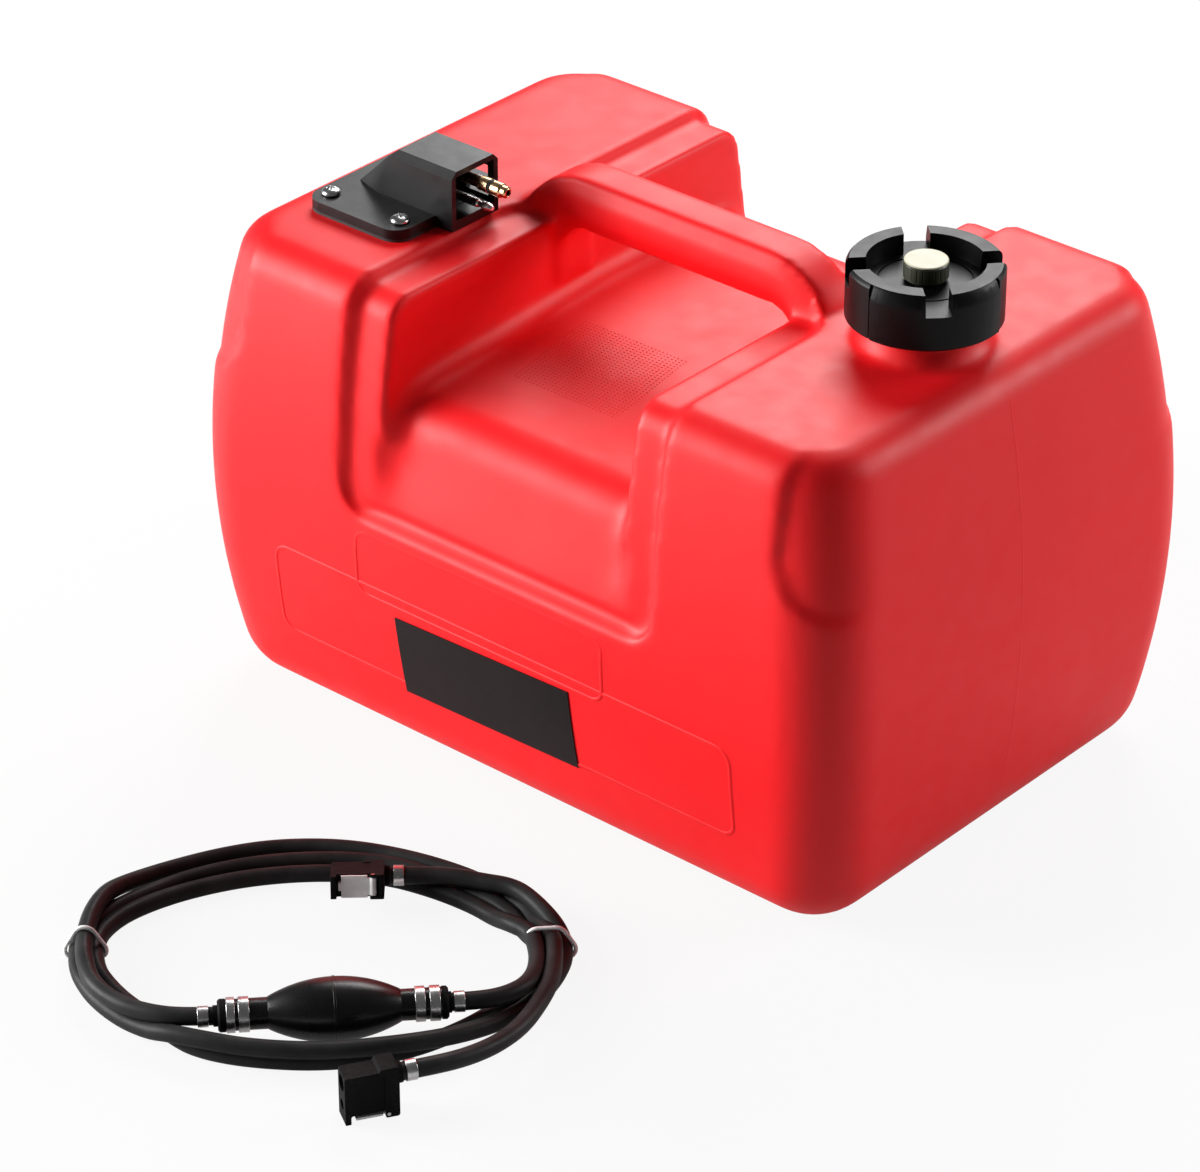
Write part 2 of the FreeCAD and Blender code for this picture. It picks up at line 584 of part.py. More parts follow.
def flange_screws():
    """Four pan-head screws through the flange into the inserts."""
    foot = PLATE_TOP_Z - SCREW_LENGTH
    outline = [(0, foot), (SCREW_SHANK_R - 0.1, foot), (SCREW_SHANK_R - 0.1, PLATE_TOP_Z),
               (SCREW_HEAD_R, PLATE_TOP_Z), (SCREW_HEAD_R, PLATE_TOP_Z + SCREW_HEAD_H * 0.45),
               (SCREW_HEAD_R * 0.72, PLATE_TOP_Z + SCREW_HEAD_H * 0.9), (0, PLATE_TOP_Z + SCREW_HEAD_H)]
    return Part.makeCompound([turned(outline, V(x, y, 0)) for x, y in screw_spots()])


def threaded_inserts():
    """Brass inserts in the tank's bosses that take the outlet screws."""
    return Part.makeCompound([turned([(SCREW_SHANK_R + 0.05, HEIGHT - INSERT_DEPTH), (INSERT_R, HEIGHT - INSERT_DEPTH),
                                      (INSERT_R, HEIGHT), (SCREW_SHANK_R + 0.05, HEIGHT)], V(x, y, 0))
                              for x, y in screw_spots()])


def fuel_nipple():
    """Brass fuel nipple: hexagon, shank, barrel with a seal groove and chamfered tip."""
    start, tip = HOOD_BACK_X, NIPPLE_TIP_X
    long = tip - start
    groove = long - SEAL_BACK
    body = turned([(FUEL_BORE_R, -4), (NIPPLE_R, -4), (NIPPLE_R, long - 16), (NIPPLE_BARREL_R, long - 15),
                   (NIPPLE_BARREL_R, groove - SEAL_WIDTH), (NIPPLE_R - 0.5, groove - SEAL_WIDTH),
                   (NIPPLE_R - 0.5, groove), (NIPPLE_BARREL_R, groove), (NIPPLE_BARREL_R, long - 3.5),
                   (NIPPLE_R, long - 2.8), (NIPPLE_R, long - 0.8), (NIPPLE_R - 0.8, long), (FUEL_BORE_R, long)],
                  V(start, HOOD_Y, NIPPLE_Z), V(1, 0, 0))
    corners = [V(0, math.cos(math.radians(60 * k)), math.sin(math.radians(60 * k))) * HEX_R for k in range(6)]
    hexagon = prism([V(start, HOOD_Y, NIPPLE_Z) + corner for corner in corners], [0] * 6, V(HEX_THICK, 0, 0))
    bore = cylinder(NIPPLE_R - 0.2, V(start - 1, HOOD_Y, NIPPLE_Z), V(start + HEX_THICK + 1, HOOD_Y, NIPPLE_Z))
    return body.fuse(hexagon.cut(bore))


def nipple_seal():
    """Seal ring in the nipple's groove, flush with its barrel."""
    middle = NIPPLE_TIP_X - HOOD_BACK_X - SEAL_BACK - SEAL_WIDTH / 2
    low, high = NIPPLE_R - 0.5, NIPPLE_BARREL_R - 0.02
    return turned([(low, middle - 0.6), (high - 0.5, middle - 0.8), (high, middle - 0.3), (high, middle + 0.3),
                   (high - 0.5, middle + 0.8), (low, middle + 0.6)], V(HOOD_BACK_X, HOOD_Y, NIPPLE_Z), V(1, 0, 0))


def guide_pin():
    """Steel guide pin with a latch groove and a tapered tip."""
    long = PIN_TIP_X - HOOD_BACK_X
    neck = PIN_R - 0.6
    return turned([(0, -4), (PIN_R, -4), (PIN_R, long - 8), (neck, long - 7.4), (neck, long - 5.6),
                   (PIN_R, long - 5), (PIN_R, long - 2), (PIN_R - 0.9, long), (0, long)],
                  V(HOOD_BACK_X, HOOD_Y, PIN_Z), V(1, 0, 0))


def pickup_tube():
    """Pick-up tube from the outlet's spigot down to the filter."""
    bottom = WALL + PICKUP_CLEAR + FILTER_LENGTH - 4
    tube = cylinder(PICKUP_R, V(PICKUP_X, HOOD_Y, bottom), V(PICKUP_X, HOOD_Y, HEIGHT + 4))
    return tube.cut(cylinder(PICKUP_R - 1.2, V(PICKUP_X, HOOD_Y, bottom - 1), V(PICKUP_X, HOOD_Y, HEIGHT + 5)))


def pickup_filter():
    """Mesh filter cup on the lower end of the pick-up tube."""
    low = WALL + PICKUP_CLEAR
    top = low + FILTER_LENGTH
    return turned([(0, low), (FILTER_R, low), (FILTER_R, top - 4), (PICKUP_R + 1, top),
                   (PICKUP_R, top), (PICKUP_R, top - 4), (0, top - 4)], V(PICKUP_X, HOOD_Y, 0))


# ---------------------------------------------------------------- hose coil
COIL_PLACE = Placement(V(COIL_X, COIL_Y, 0), Rotation(V(0, 0, 1), COIL_TURN))


def on_floor(s, t, z):
    """Point of the hose set's floor frame in the tank's frame."""
    return COIL_PLACE.multVec(V(s, -t, z))


def tie_loop(side, half, low):
    """Rectangular block around the coil's bundle at one of its ties."""
    return box((side * TIE_S - half, -TIE_WIDTH / 2, low), (side * TIE_S + half, TIE_WIDTH / 2, COIL_HEIGHT - low))


def hose_coil():
    """Outer shape of the coiled hose, with a waist under each tie."""
    outer = Part.Ellipse(V(0, -COIL_MIDDLE_T, 0), COIL_HALF_S, COIL_HALF_T)
    coil = Part.Face(Part.Wire(outer.toShape())).extrude(V(0, 0, COIL_HEIGHT))
    coil = coil.makeFillet(COIL_EDGE_R, edges_where(coil, lambda p: p.z < 0.01 or p.z > COIL_HEIGHT - 0.01))
    corners = [V(s, -t, -1) for s, t in COIL_INSIDE]
    coil = coil.cut(prism(corners, [COIL_INSIDE_R] * len(corners), V(0, 0, COIL_HEIGHT + 2)))
    for side in (-1, 1):
        around = tie_loop(side, TIE_HALF + 6, -1)
        coil = coil.cut(around.cut(tie_loop(side, TIE_HALF - TIE_THICK, TIE_THICK)))
    coil.Placement = COIL_PLACE
    return coil


def coil_ties():
    """Thin ties around the two long sides of the coil."""
    ties = Part.makeCompound([tie_loop(side, TIE_HALF, 0).cut(tie_loop(side, TIE_HALF - TIE_THICK, TIE_THICK))
                              for side in (-1, 1)])
    ties.Placement = COIL_PLACE
    return ties


def hose_tail(name, route):
    """Round hose along straight runs and tangent arcs, bored for the barb at its start."""
    points = [on_floor(*spot) for spot in route]
    radii = []
    for before, corner, after in zip(points, points[1:], points[2:]):
        turn = (corner - before).getAngle(after - corner)
        shorter = min(before.distanceToPoint(corner), corner.distanceToPoint(after))
        radii.append(0.45 * shorter / math.tan(turn / 2))
    wire = Part.Wire(rounded_edges(points, radii))
    start = (points[1] - points[0]).normalize()
    ring = Part.Wire(Part.makeCircle(HOSE_R, points[0], start))
    hose = wire.makePipeShell([ring], True, False)
    share = hose.Volume / (math.pi * HOSE_R ** 2 * wire.Length)
    print("%s: length %.1f mm, radii %s mm, volume %.3f of section x length"
          % (name, wire.Length, [round(radius) for radius in radii], share))
    return hose.cut(cylinder(HOSE_BORE_R, points[0], points[0] + start * BARB_LENGTH))


# ---------------------------------------------------------------- primer bulb
BULB_AT = on_floor(BULB_S, BULB_T, BULB_Z)
BULB_AXIS = Rotation(V(0, 0, 1), COIL_TURN + BULB_TURN).multVec(V(1, 0, 0))


def bulb_form(shrink):
    """Bulged body of the bulb about its own axis."""
    half, end = BULB_HALF, BULB_END_R - shrink
    side = Part.Arc(V(end, 0, -half), V(BULB_R - shrink, 0, 0), V(end, 0, half)).toShape()
    ends = Part.makePolygon([V(end, 0, half), V(0, 0, half), V(0, 0, -half), V(end, 0, -half)])
    return Part.Face(Part.Wire([side] + ends.Edges)).revolve(V(0, 0, 0), V(0, 0, 1), 360)


def on_bulb_axis(shape):
    """Shape turned about +Z, moved onto the bulb's axis."""
    shape.Placement = Placement(BULB_AT, Rotation(V(0, 0, 1), BULB_AXIS))
    return shape


def primer_bulb():
    """Hollow rubber bulb with a neck at each end and a moulding seam round its middle."""
    low, high = -OUTLET_END[0], INLET_END[0]
    bulb = bulb_form(0).fuse(Part.makeCylinder(BULB_NECK_R, high - low, V(0, 0, low)))
    bulb = bulb.fuse(Part.makeCylinder(BULB_R + 0.25, 1.0, V(0, 0, -0.5)))
    bulb = bulb.cut(bulb_form(BULB_WALL))
    return on_bulb_axis(bulb.cut(Part.makeCylinder(FITTING_R, high - low, V(0, 0, low))))


def bulb_fitting(end, side):
    """Plug with a ball chamber, a flange against the bulb's neck and a hose barb."""
    neck, flange, hose = end[:3]
    outline = [(1.8, FITTING_START), (FITTING_R, FITTING_START), (FITTING_R, neck), (FITTING_FLANGE_R, neck),
               (FITTING_FLANGE_R, flange - 0.8), (FITTING_FLANGE_R - 0.8, flange), (CLAMP_R, flange),
               (CLAMP_R, hose), (HOSE_BORE_R, hose), (HOSE_BORE_R, hose + BARB_LENGTH),
               (BARB_BORE_R, hose + BARB_LENGTH), (BARB_BORE_R, CHAMBER_END), (BALL_CHAMBER_R, CHAMBER_END),
               (BALL_CHAMBER_R, FITTING_START + 1), (1.8, FITTING_START + 1)]
    return turned(outline, BULB_AT, BULB_AXIS * side)


def bulb_ball(height, side):
    """Ball of a check valve, at its seat."""
    return Part.makeSphere(BALL_R, BULB_AT + BULB_AXIS * (side * height))


def tube_band(start, end, outer, inner, at, direction):
    """Short band round an axis."""
    return turned([(inner, start), (outer, start), (outer, end), (inner, end)], at, direction)


def bulb_bands():
    """Two clamping bands round each neck of the bulb."""
    return Part.makeCompound(
        [tube_band(start, end, BAND_R, BULB_NECK_R, BULB_AT, BULB_AXIS) for start, end in INLET_BANDS]
        + [tube_band(start, end, BAND_R, BULB_NECK_R, BULB_AT, BULB_AXIS * -1) for start, end in OUTLET_BANDS])


# ---------------------------------------------------------------- fuel connectors
def connector_place(spot):
    """Placement of a connector from its socket face, turn and roll."""
    s, t, z, turn, roll = spot
    facing = Rotation(V(0, 0, 1), COIL_TURN + turn).multiply(Rotation(V(1, 0, 0), roll))
    return Placement(on_floor(s, t, z), facing)


def connector_body(spot):
    """Connector with fuel and pin sockets, valve chamber, latch cheeks and hose barb."""
    half, rear = BODY_WIDTH / 2, REAR_WIDTH / 2
    front = [V(0, -half, FLANGE_FOOT), V(FLANGE_THICK, -half, FLANGE_FOOT), V(FLANGE_THICK, -half, BODY_BOTTOM),
             V(REAR_START + 1, -half, BODY_BOTTOM), V(REAR_START + 1, -half, BODY_TOP), V(0, -half, BODY_TOP)]
    back = [V(REAR_START, -rear, REAR_FOOT), V(BODY_LENGTH, -rear, REAR_FOOT), V(BODY_LENGTH, -rear, HUMP_TOP),
            V(REAR_START - 1.5, -rear, HUMP_TOP), V(REAR_START - 3.5, -rear, BODY_TOP - 1.6),
            V(REAR_START, -rear, BODY_TOP - 1.6)]
    body = prism(front, [0.4, 0.4, 1, 0, 0, 0.8], V(0, 2 * half, 0))
    body = body.fuse(prism(back, [0.8, 1.0, 1.0, 1.0, 0.3, 0], V(0, 2 * rear, 0)))
    body = body.fuse(Part.makeCylinder(CLAMP_R, HOSE_START - BODY_LENGTH + 1, V(BODY_LENGTH - 1, 0, 0), V(1, 0, 0)))
    body = body.fuse(Part.makeCylinder(HOSE_BORE_R, BARB_LENGTH + 1, V(HOSE_START - 1, 0, 0), V(1, 0, 0)))
    for radius, start, end, v in ((SOCKET_R, -1, SOCKET_DEPTH, 0), (NOSE_R, 0, NOSE_DEPTH, 0),
                                  (SEAT_R, 0, CHAMBER_REAR, 0),
                                  (CHAMBER_R, NOSE_DEPTH + SEAT_THICK, CHAMBER_REAR, 0),
                                  (BARB_BORE_R, 0, HOSE_START + BARB_LENGTH + 1, 0),
                                  (PIN_SOCKET_R, -1, PIN_SOCKET_DEPTH, -PIN_DROP)):
        body = body.cut(Part.makeCylinder(radius, end - start, V(start, 0, v), V(1, 0, 0)))
    body = body.cut(box((REAR_START - 2, -LATCH_HALF - 0.3, REAR_FOOT - 1),
                        (LATCH_SLOT_END, LATCH_HALF + 0.3, BODY_BOTTOM)))
    body = body.cut(box((TAB_SLOT[0], -TAB_SLOT_HALF, BODY_BOTTOM - 1), (TAB_SLOT[1], TAB_SLOT_HALF, -PIN_DROP)))
    body = body.cut(Part.makeCylinder(LATCH_PIN_R, 20, V(LATCH_U, -10, LATCH_V), V(0, 1, 0)))
    body.Placement = connector_place(spot)
    return body


def latch_plate(spot):
    """Sprung steel latch: wide plate, eye round the hinge pin and tab into the pin socket."""
    low, high = LATCH_V - LATCH_HALF_THICK, LATCH_V + LATCH_HALF_THICK
    nose, shoulder = LATCH_NOSE
    latch = box((shoulder - 0.2, -LATCH_WIDE_HALF, low), (REAR_START - 1.0, LATCH_WIDE_HALF, high))
    latch = latch.fuse(box((nose, -LATCH_NOSE_HALF, low), (shoulder, LATCH_NOSE_HALF, high)))
    latch = latch.fuse(box((nose, -LATCH_NOSE_HALF, low),
                           (nose + LATCH_TAB_THICK, LATCH_NOSE_HALF, -PIN_DROP - PIN_R + 0.3)))
    latch = latch.fuse(box((REAR_START - 2, -LATCH_HALF, low), (LATCH_U, LATCH_HALF, high)))
    latch = latch.fuse(Part.makeCylinder(LATCH_EYE_R, 2 * LATCH_HALF, V(LATCH_U, -LATCH_HALF, LATCH_V), V(0, 1, 0)))
    latch = latch.cut(Part.makeCylinder(LATCH_PIN_R + 0.05, 20, V(LATCH_U, -10, LATCH_V), V(0, 1, 0)))
    latch.Placement = connector_place(spot)
    return latch


def latch_pins():
    """Hinge pins of the two latches."""
    pins = []
    for spot in (CONNECTOR_A, CONNECTOR_B):
        pin = Part.makeCylinder(LATCH_PIN_R, REAR_WIDTH, V(LATCH_U, -REAR_WIDTH / 2, LATCH_V), V(0, 1, 0))
        pin.Placement = connector_place(spot)
        pins.append(pin)
    return Part.makeCompound(pins)


def shutoff_valve(spot):
    """Poppet that closes the fuel socket: a stem through the seat and a plate behind it."""
    outline = [(0, VALVE_FACE - 2.2), (1.0, VALVE_FACE - 2.2), (1.0, VALVE_FACE), (VALVE_R, VALVE_FACE),
               (VALVE_R, VALVE_FACE + 1), (1.2, VALVE_FACE + 1), (1.2, VALVE_FACE + 2), (0, VALVE_FACE + 2)]
    place = connector_place(spot)
    return turned(outline, place.Base, place.Rotation.multVec(V(1, 0, 0)))


def valve_spring(spot):
    """Square-wire coil spring behind the poppet."""
    start, wire = VALVE_FACE + 1.0, 0.35
    height = CHAMBER_REAR - start - wire
    helix = Part.makeHelix(height / SPRING_TURNS, height, SPRING_R - wire / 2)
    radius = SPRING_R - wire / 2
    section = Part.makePolygon([V(radius + x * wire / 2, 0, z * wire / 2)
                                for x, z in ((-1, -1), (1, -1), (1, 1), (-1, 1), (-1, -1))])
    spring = Part.Wire(helix.Edges).makePipeShell([section], True, True)
    spring.translate(V(0, 0, start + wire / 2))
    place = connector_place(spot)
    axis = place.Rotation.multVec(V(1, 0, 0))
    spring.Placement = Placement(place.Base, Rotation(V(0, 0, 1), axis)).multiply(spring.Placement)
    return spring


def hose_clamps():
    """Crimped clamps on the four hose ends."""
    clamps = [tube_band(end[3], end[3] + CLAMP_WIDTH, CLAMP_R, HOSE_R, BULB_AT, BULB_AXIS * side)
              for end, side in ((INLET_END, 1), (OUTLET_END, -1))]
    for spot in (CONNECTOR_A, CONNECTOR_B):
        place = connector_place(spot)
        clamps.append(tube_band(HOSE_START + 1.6, HOSE_START + 1.6 + CLAMP_WIDTH, CLAMP_R, HOSE_R,
                                place.Base, place.Rotation.multVec(V(1, 0, 0))))
    return Part.makeCompound(clamps)


# ---------------------------------------------------------------- sub-parts
SHAPES = (
    ("tank_shell", tank_shell), ("filler_cap", filler_cap), ("cap_gasket", cap_gasket),
    ("vent_knob", vent_knob), ("vent_disc", vent_disc), ("vent_screw", vent_screw),
    ("vent_seal", vent_seal), ("outlet_housing", outlet_housing), ("outlet_gasket", outlet_gasket),
    ("flange_screws", flange_screws), ("threaded_inserts", threaded_inserts),
    ("fuel_nipple", fuel_nipple), ("nipple_seal", nipple_seal), ("guide_pin", guide_pin),
    ("pickup_tube", pickup_tube), ("pickup_filter", pickup_filter), ("hose_coil", hose_coil),
    ("coil_ties", coil_ties), ("primer_bulb", primer_bulb), ("bulb_bands", bulb_bands),
    ("hose_clamps", hose_clamps), ("latch_pins", latch_pins))
for name, make in SHAPES:
    write(name, make())

ROUTES = (("hose_to_connector_a", TAIL_A), ("hose_to_connector_b", TAIL_B),
          ("hose_to_bulb_inlet", TAIL_INLET), ("hose_to_bulb_outlet", TAIL_OUTLET))
for name, route in ROUTES:
    write(name, hose_tail(name, route))

BULB_ENDS = (("inlet", INLET_END, INLET_BALL_AT, 1), ("outlet", OUTLET_END, OUTLET_BALL_AT, -1))
for name, end, ball_at, side in BULB_ENDS:
    write("bulb_%s_fitting" % name, bulb_fitting(end, side))
    write("%s_ball" % name, bulb_ball(ball_at, side))

for letter, spot in (("a", CONNECTOR_A), ("b", CONNECTOR_B)):
    write("connector_" + letter, connector_body(spot))
    write("latch_" + letter, latch_plate(spot))
    write("shutoff_valve_" + letter, shutoff_valve(spot))
    write("valve_spring_" + letter, valve_spring(spot))
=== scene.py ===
"""Dressed model of a portable outboard fuel tank with its cap, fuel outlet and hose set.

Metres, +Z up.  The origin is the middle of the tank's base, +X runs along the tank to
the filler end and -Y is the front.
"""
import logging
import math
from dataclasses import dataclass, field
from enum import Enum
from typing import Callable, Optional, Sequence

import bmesh
import bpy
import numpy as np
from mathutils import Matrix, Vector
from mathutils.bvhtree import BVHTree


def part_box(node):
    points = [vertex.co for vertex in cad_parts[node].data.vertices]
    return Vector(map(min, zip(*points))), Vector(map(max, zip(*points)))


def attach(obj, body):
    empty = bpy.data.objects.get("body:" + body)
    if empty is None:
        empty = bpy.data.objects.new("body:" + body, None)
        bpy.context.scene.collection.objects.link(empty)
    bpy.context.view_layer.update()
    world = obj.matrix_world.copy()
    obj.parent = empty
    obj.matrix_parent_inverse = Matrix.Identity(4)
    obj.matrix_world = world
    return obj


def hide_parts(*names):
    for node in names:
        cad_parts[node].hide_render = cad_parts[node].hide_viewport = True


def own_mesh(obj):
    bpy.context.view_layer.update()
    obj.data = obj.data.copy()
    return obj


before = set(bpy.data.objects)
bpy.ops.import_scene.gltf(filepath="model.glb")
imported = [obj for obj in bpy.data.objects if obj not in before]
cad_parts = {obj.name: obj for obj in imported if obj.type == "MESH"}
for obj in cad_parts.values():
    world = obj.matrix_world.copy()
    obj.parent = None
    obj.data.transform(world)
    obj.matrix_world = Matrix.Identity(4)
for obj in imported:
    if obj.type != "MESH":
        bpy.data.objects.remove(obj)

Flat = tuple[float, float]
Point = tuple[float, float, float]
Colour = tuple[float, float, float]
Form = bmesh.types.BMesh
Thing = bpy.types.Object

MM = 0.001
ROOT = "tank"
# Distances below which points count as one, on a node's mesh and on a cut one, and the
# angle in degrees below which faces count as one flat area.
SAME_POINT = 2e-6
SAME_CUT_POINT = 0.00015
FLAT_ANGLE = 0.6
# Numbers of sockets whose names are shared by others of their node.
MIX_FIRST, MIX_SECOND, MIX_RESULT = 6, 7, 2
RANDOM_LOW, RANDOM_HIGH, RANDOM_RESULT = 2, 3, 1
log = logging.getLogger("fuel_tank")


def tuned(item: object, **values: object) -> object:
    """Set properties of a Blender item in turn.

    Args:
        item: The item.
        values: Properties by name.

    Returns:
        The item.
    """
    for name, value in values.items():
        setattr(item, name, value)
    return item


# ---------------------------------------------------------------- shader effects
class Effect(Enum):
    """Surface effects that several finishes share."""

    TONE = "tone_drift"
    GRAIN = "surface_grain"
    WEAR = "edge_wear"
    DUST = "settled_dust"


class Board:
    """Adds nodes to one tree and joins them."""

    def __init__(self, tree: bpy.types.NodeTree) -> None:
        """Keep the tree that nodes are added to."""
        self.tree = tree

    def add(self, kind: str, feeds: Optional[dict] = None, **settings: object) -> bpy.types.Node:
        """Add a node.

        Args:
            kind: Blender's node type.
            feeds: What goes into its inputs, by their names or numbers.
            settings: Node properties by name.

        Returns:
            The new node.
        """
        node = tuned(self.tree.nodes.new(kind), **settings)
        self.feed(node, feeds or {})
        return node

    def feed(self, node: bpy.types.Node, feeds: dict) -> None:
        """Fill a node's inputs.

        Args:
            node: The node.
            feeds: Output socket, node or plain value for each input.
        """
        for key, source in feeds.items():
            if isinstance(source, bpy.types.Node):
                source = source.outputs[0]
            if isinstance(source, bpy.types.NodeSocket):
                self.tree.links.new(source, node.inputs[key])
            else:
                node.inputs[key].default_value = source

    def maths(self, operation: str, first: object, second: object, clamp: bool = False) -> object:
        """Result of a Math node on two sockets or numbers, held between 0 and 1 on request."""
        return self.add("ShaderNodeMath", {0: first, 1: second}, operation=operation, use_clamp=clamp).outputs[0]

    def ramp(self, value: object, low: float, high: float, start: object = 0.0, end: object = 1.0) -> object:
        """Map a value from one range to another, held at its ends."""
        return self.add("ShaderNodeMapRange", dict(enumerate((value, low, high, start, end)))).outputs[0]

    def noise(self, vector: object, scale: object, detail: float, rough: float = 0.5) -> object:
        """Value of a noise pattern, with its scale in cells per metre and its octaves as detail."""
        feeds = {"Vector": vector, "Scale": scale, "Detail": detail, "Roughness": rough}
        return self.add("ShaderNodeTexNoise", feeds).outputs["Fac"]


class EffectShelf:
    """Builds each shared effect once and hands out its node group."""

    SOCKETS: dict[Effect, tuple[str, str]] = {
        Effect.TONE: ("Vector Colour Amount Scale", "Colour"),
        Effect.GRAIN: ("Vector Scale Smooth Rough", "Roughness Height"),
        Effect.WEAR: ("Vector Amount", "Mask"),
        Effect.DUST: ("Vector Amount", "Mask"),
    }
    KINDS: dict[str, str] = {"Vector": "Vector", "Colour": "Color"}
    # Grain: scale of its broad patches to its fine ones, and share of the fine ones.
    BROAD_SCALE = 0.06
    FINE_SHARE = 0.4

    def __init__(self) -> None:
        """Start with no groups built."""
        self.groups: dict[Effect, bpy.types.NodeTree] = {}

    def get(self, effect: Effect) -> bpy.types.NodeTree:
        """Group of an effect, built on first use.

        Args:
            effect: The effect wanted.

        Returns:
            Its node group.
        """
        if effect not in self.groups:
            tree = bpy.data.node_groups.new(effect.value, "ShaderNodeTree")
            for side, names in zip(("INPUT", "OUTPUT"), self.SOCKETS[effect]):
                for name in names.split():
                    tree.interface.new_socket(name, in_out=side,
                                              socket_type="NodeSocket" + self.KINDS.get(name, "Float"))
            board = Board(tree)
            maker = {Effect.TONE: self._tone, Effect.GRAIN: self._grain,
                     Effect.WEAR: self._wear, Effect.DUST: self._dust}[effect]
            board.add("NodeGroupOutput", maker(board, board.add("NodeGroupInput").outputs))
            self.groups[effect] = tree
        return self.groups[effect]

    @staticmethod
    def _tone(board: Board, given: object) -> dict:
        """Slow drift of a colour's brightness.

        Args:
            board: Tree of the group.
            given: The group's inputs.

        Returns:
            The group's outputs by name.
        """
        pattern = board.noise(given["Vector"], given["Scale"], detail=3.0)
        low, high = (board.maths(sign, 1.0, given["Amount"]) for sign in ("SUBTRACT", "ADD"))
        factor = board.ramp(pattern, low=0.3, high=0.7, start=low, end=high)
        tone = board.add("ShaderNodeVectorMath", {0: given["Colour"], "Scale": factor}, operation="SCALE")
        return {"Colour": tone}

    def _grain(self, board: Board, given: object) -> dict:
        """Fine moulded grain: height and the roughness that goes with it.

        Args:
            board: Tree of the group.
            given: The group's inputs.

        Returns:
            The group's outputs by name.
        """
        fine = board.noise(given["Vector"], given["Scale"], detail=3.0, rough=0.6)
        broad = board.noise(given["Vector"], board.maths("MULTIPLY", given["Scale"], self.BROAD_SCALE), detail=2.0)
        spread = board.maths("ADD", board.maths("MULTIPLY", fine, self.FINE_SHARE),
                             board.maths("MULTIPLY", broad, 1.0 - self.FINE_SHARE))
        rough = board.ramp(spread, low=0.35, high=0.65, start=given["Smooth"], end=given["Rough"])
        return {"Roughness": rough, "Height": fine}

    @staticmethod
    def _wear(board: Board, given: object) -> dict:
        """Rubbed edges, broken up by noise.

        Args:
            board: Tree of the group.
            given: The group's inputs.

        Returns:
            The group's outputs by name.
        """
        edge = board.ramp(board.add("ShaderNodeNewGeometry").outputs["Pointiness"], low=0.52, high=0.62)
        broken = board.noise(given["Vector"], scale=420.0, detail=4.0, rough=0.7)
        broken = board.ramp(broken, low=0.4, high=0.62)
        mask = board.maths("MULTIPLY", edge, broken)
        return {"Mask": board.maths("MULTIPLY", mask, given["Amount"], clamp=True)}

    @staticmethod
    def _dust(board: Board, given: object) -> dict:
        """Thin dust on faces that look up.

        Args:
            board: Tree of the group.
            given: The group's inputs.

        Returns:
            The group's outputs by name.
        """
        normal = board.add("ShaderNodeNewGeometry").outputs["Normal"]
        upward = board.ramp(board.add("ShaderNodeSeparateXYZ", {0: normal}).outputs["Z"], low=0.2, high=1.0)
        patch = board.noise(given["Vector"], scale=60.0, detail=5.0, rough=0.65)
        patch = board.ramp(patch, low=0.42, high=0.7)
        mask = board.maths("MULTIPLY", upward, patch)
        return {"Mask": board.maths("MULTIPLY", mask, given["Amount"], clamp=True)}


EFFECTS = EffectShelf()


# ---------------------------------------------------------------- finishes
@dataclass(frozen=True)
class Finish:
    """Finish of one kind of surface, with its amounts of each shared effect."""

    name: str
    colour: Colour
    smooth: float
    rough: float
    metallic: float = 0.0
    specular: float = 0.5
    drift: float = 0.06
    drift_scale: float = 22.0
    grain_scale: float = 2200.0
    grain_depth: float = 0.00002
    wear: float = 0.0
    wear_colour: Colour = (0.2, 0.2, 0.2)
    dust: float = 0.0
    dust_colour: Colour = (0.35, 0.33, 0.3)
    wave_scale: float = 0.0
    wave_depth: float = 0.0

    def material(self) -> bpy.types.Material:
        """Material of this finish, built on first use."""
        return bpy.data.materials.get("finish_" + self.name) or self._build()

    def _effect(self, board: Board, effect: Effect, **values: object) -> object:
        """Outputs of a shared effect that is placed with its values."""
        return board.add("ShaderNodeGroup", values, node_tree=EFFECTS.get(effect)).outputs

    def _build(self) -> bpy.types.Material:
        """Make the material's node tree.

        Returns:
            The new material.
        """
        material = tuned(bpy.data.materials.new("finish_" + self.name), use_nodes=True,
                         diffuse_color=(*self.colour, 1.0))
        board = Board(material.node_tree)
        where = board.add("ShaderNodeTexCoord").outputs["Object"]
        colour = self._effect(board, Effect.TONE, Vector=where, Colour=(*self.colour, 1.0),
                              Amount=self.drift, Scale=self.drift_scale)["Colour"]
        for effect, amount, cover in ((Effect.WEAR, self.wear, self.wear_colour),
                                      (Effect.DUST, self.dust, self.dust_colour)):
            if amount:
                mask = self._effect(board, effect, Vector=where, Amount=amount)["Mask"]
                layers = {"Factor": mask, MIX_FIRST: colour, MIX_SECOND: (*cover, 1.0)}
                colour = board.add("ShaderNodeMix", layers, data_type="RGBA").outputs[MIX_RESULT]
        grain = self._effect(board, Effect.GRAIN, Vector=where, Scale=self.grain_scale,
                             Smooth=self.smooth, Rough=self.rough)
        bump = {"Distance": self.grain_depth, "Height": grain["Height"]}
        if self.wave_depth:
            swell = board.noise(where, self.wave_scale, detail=1.0)
            bump["Normal"] = board.add("ShaderNodeBump", {"Distance": self.wave_depth, "Height": swell})
        board.feed(material.node_tree.nodes["Principled BSDF"],
                   {"Base Color": colour, "Roughness": grain["Roughness"],
                    "Normal": board.add("ShaderNodeBump", bump), "Metallic": self.metallic,
                    "Specular IOR Level": self.specular})
        return material


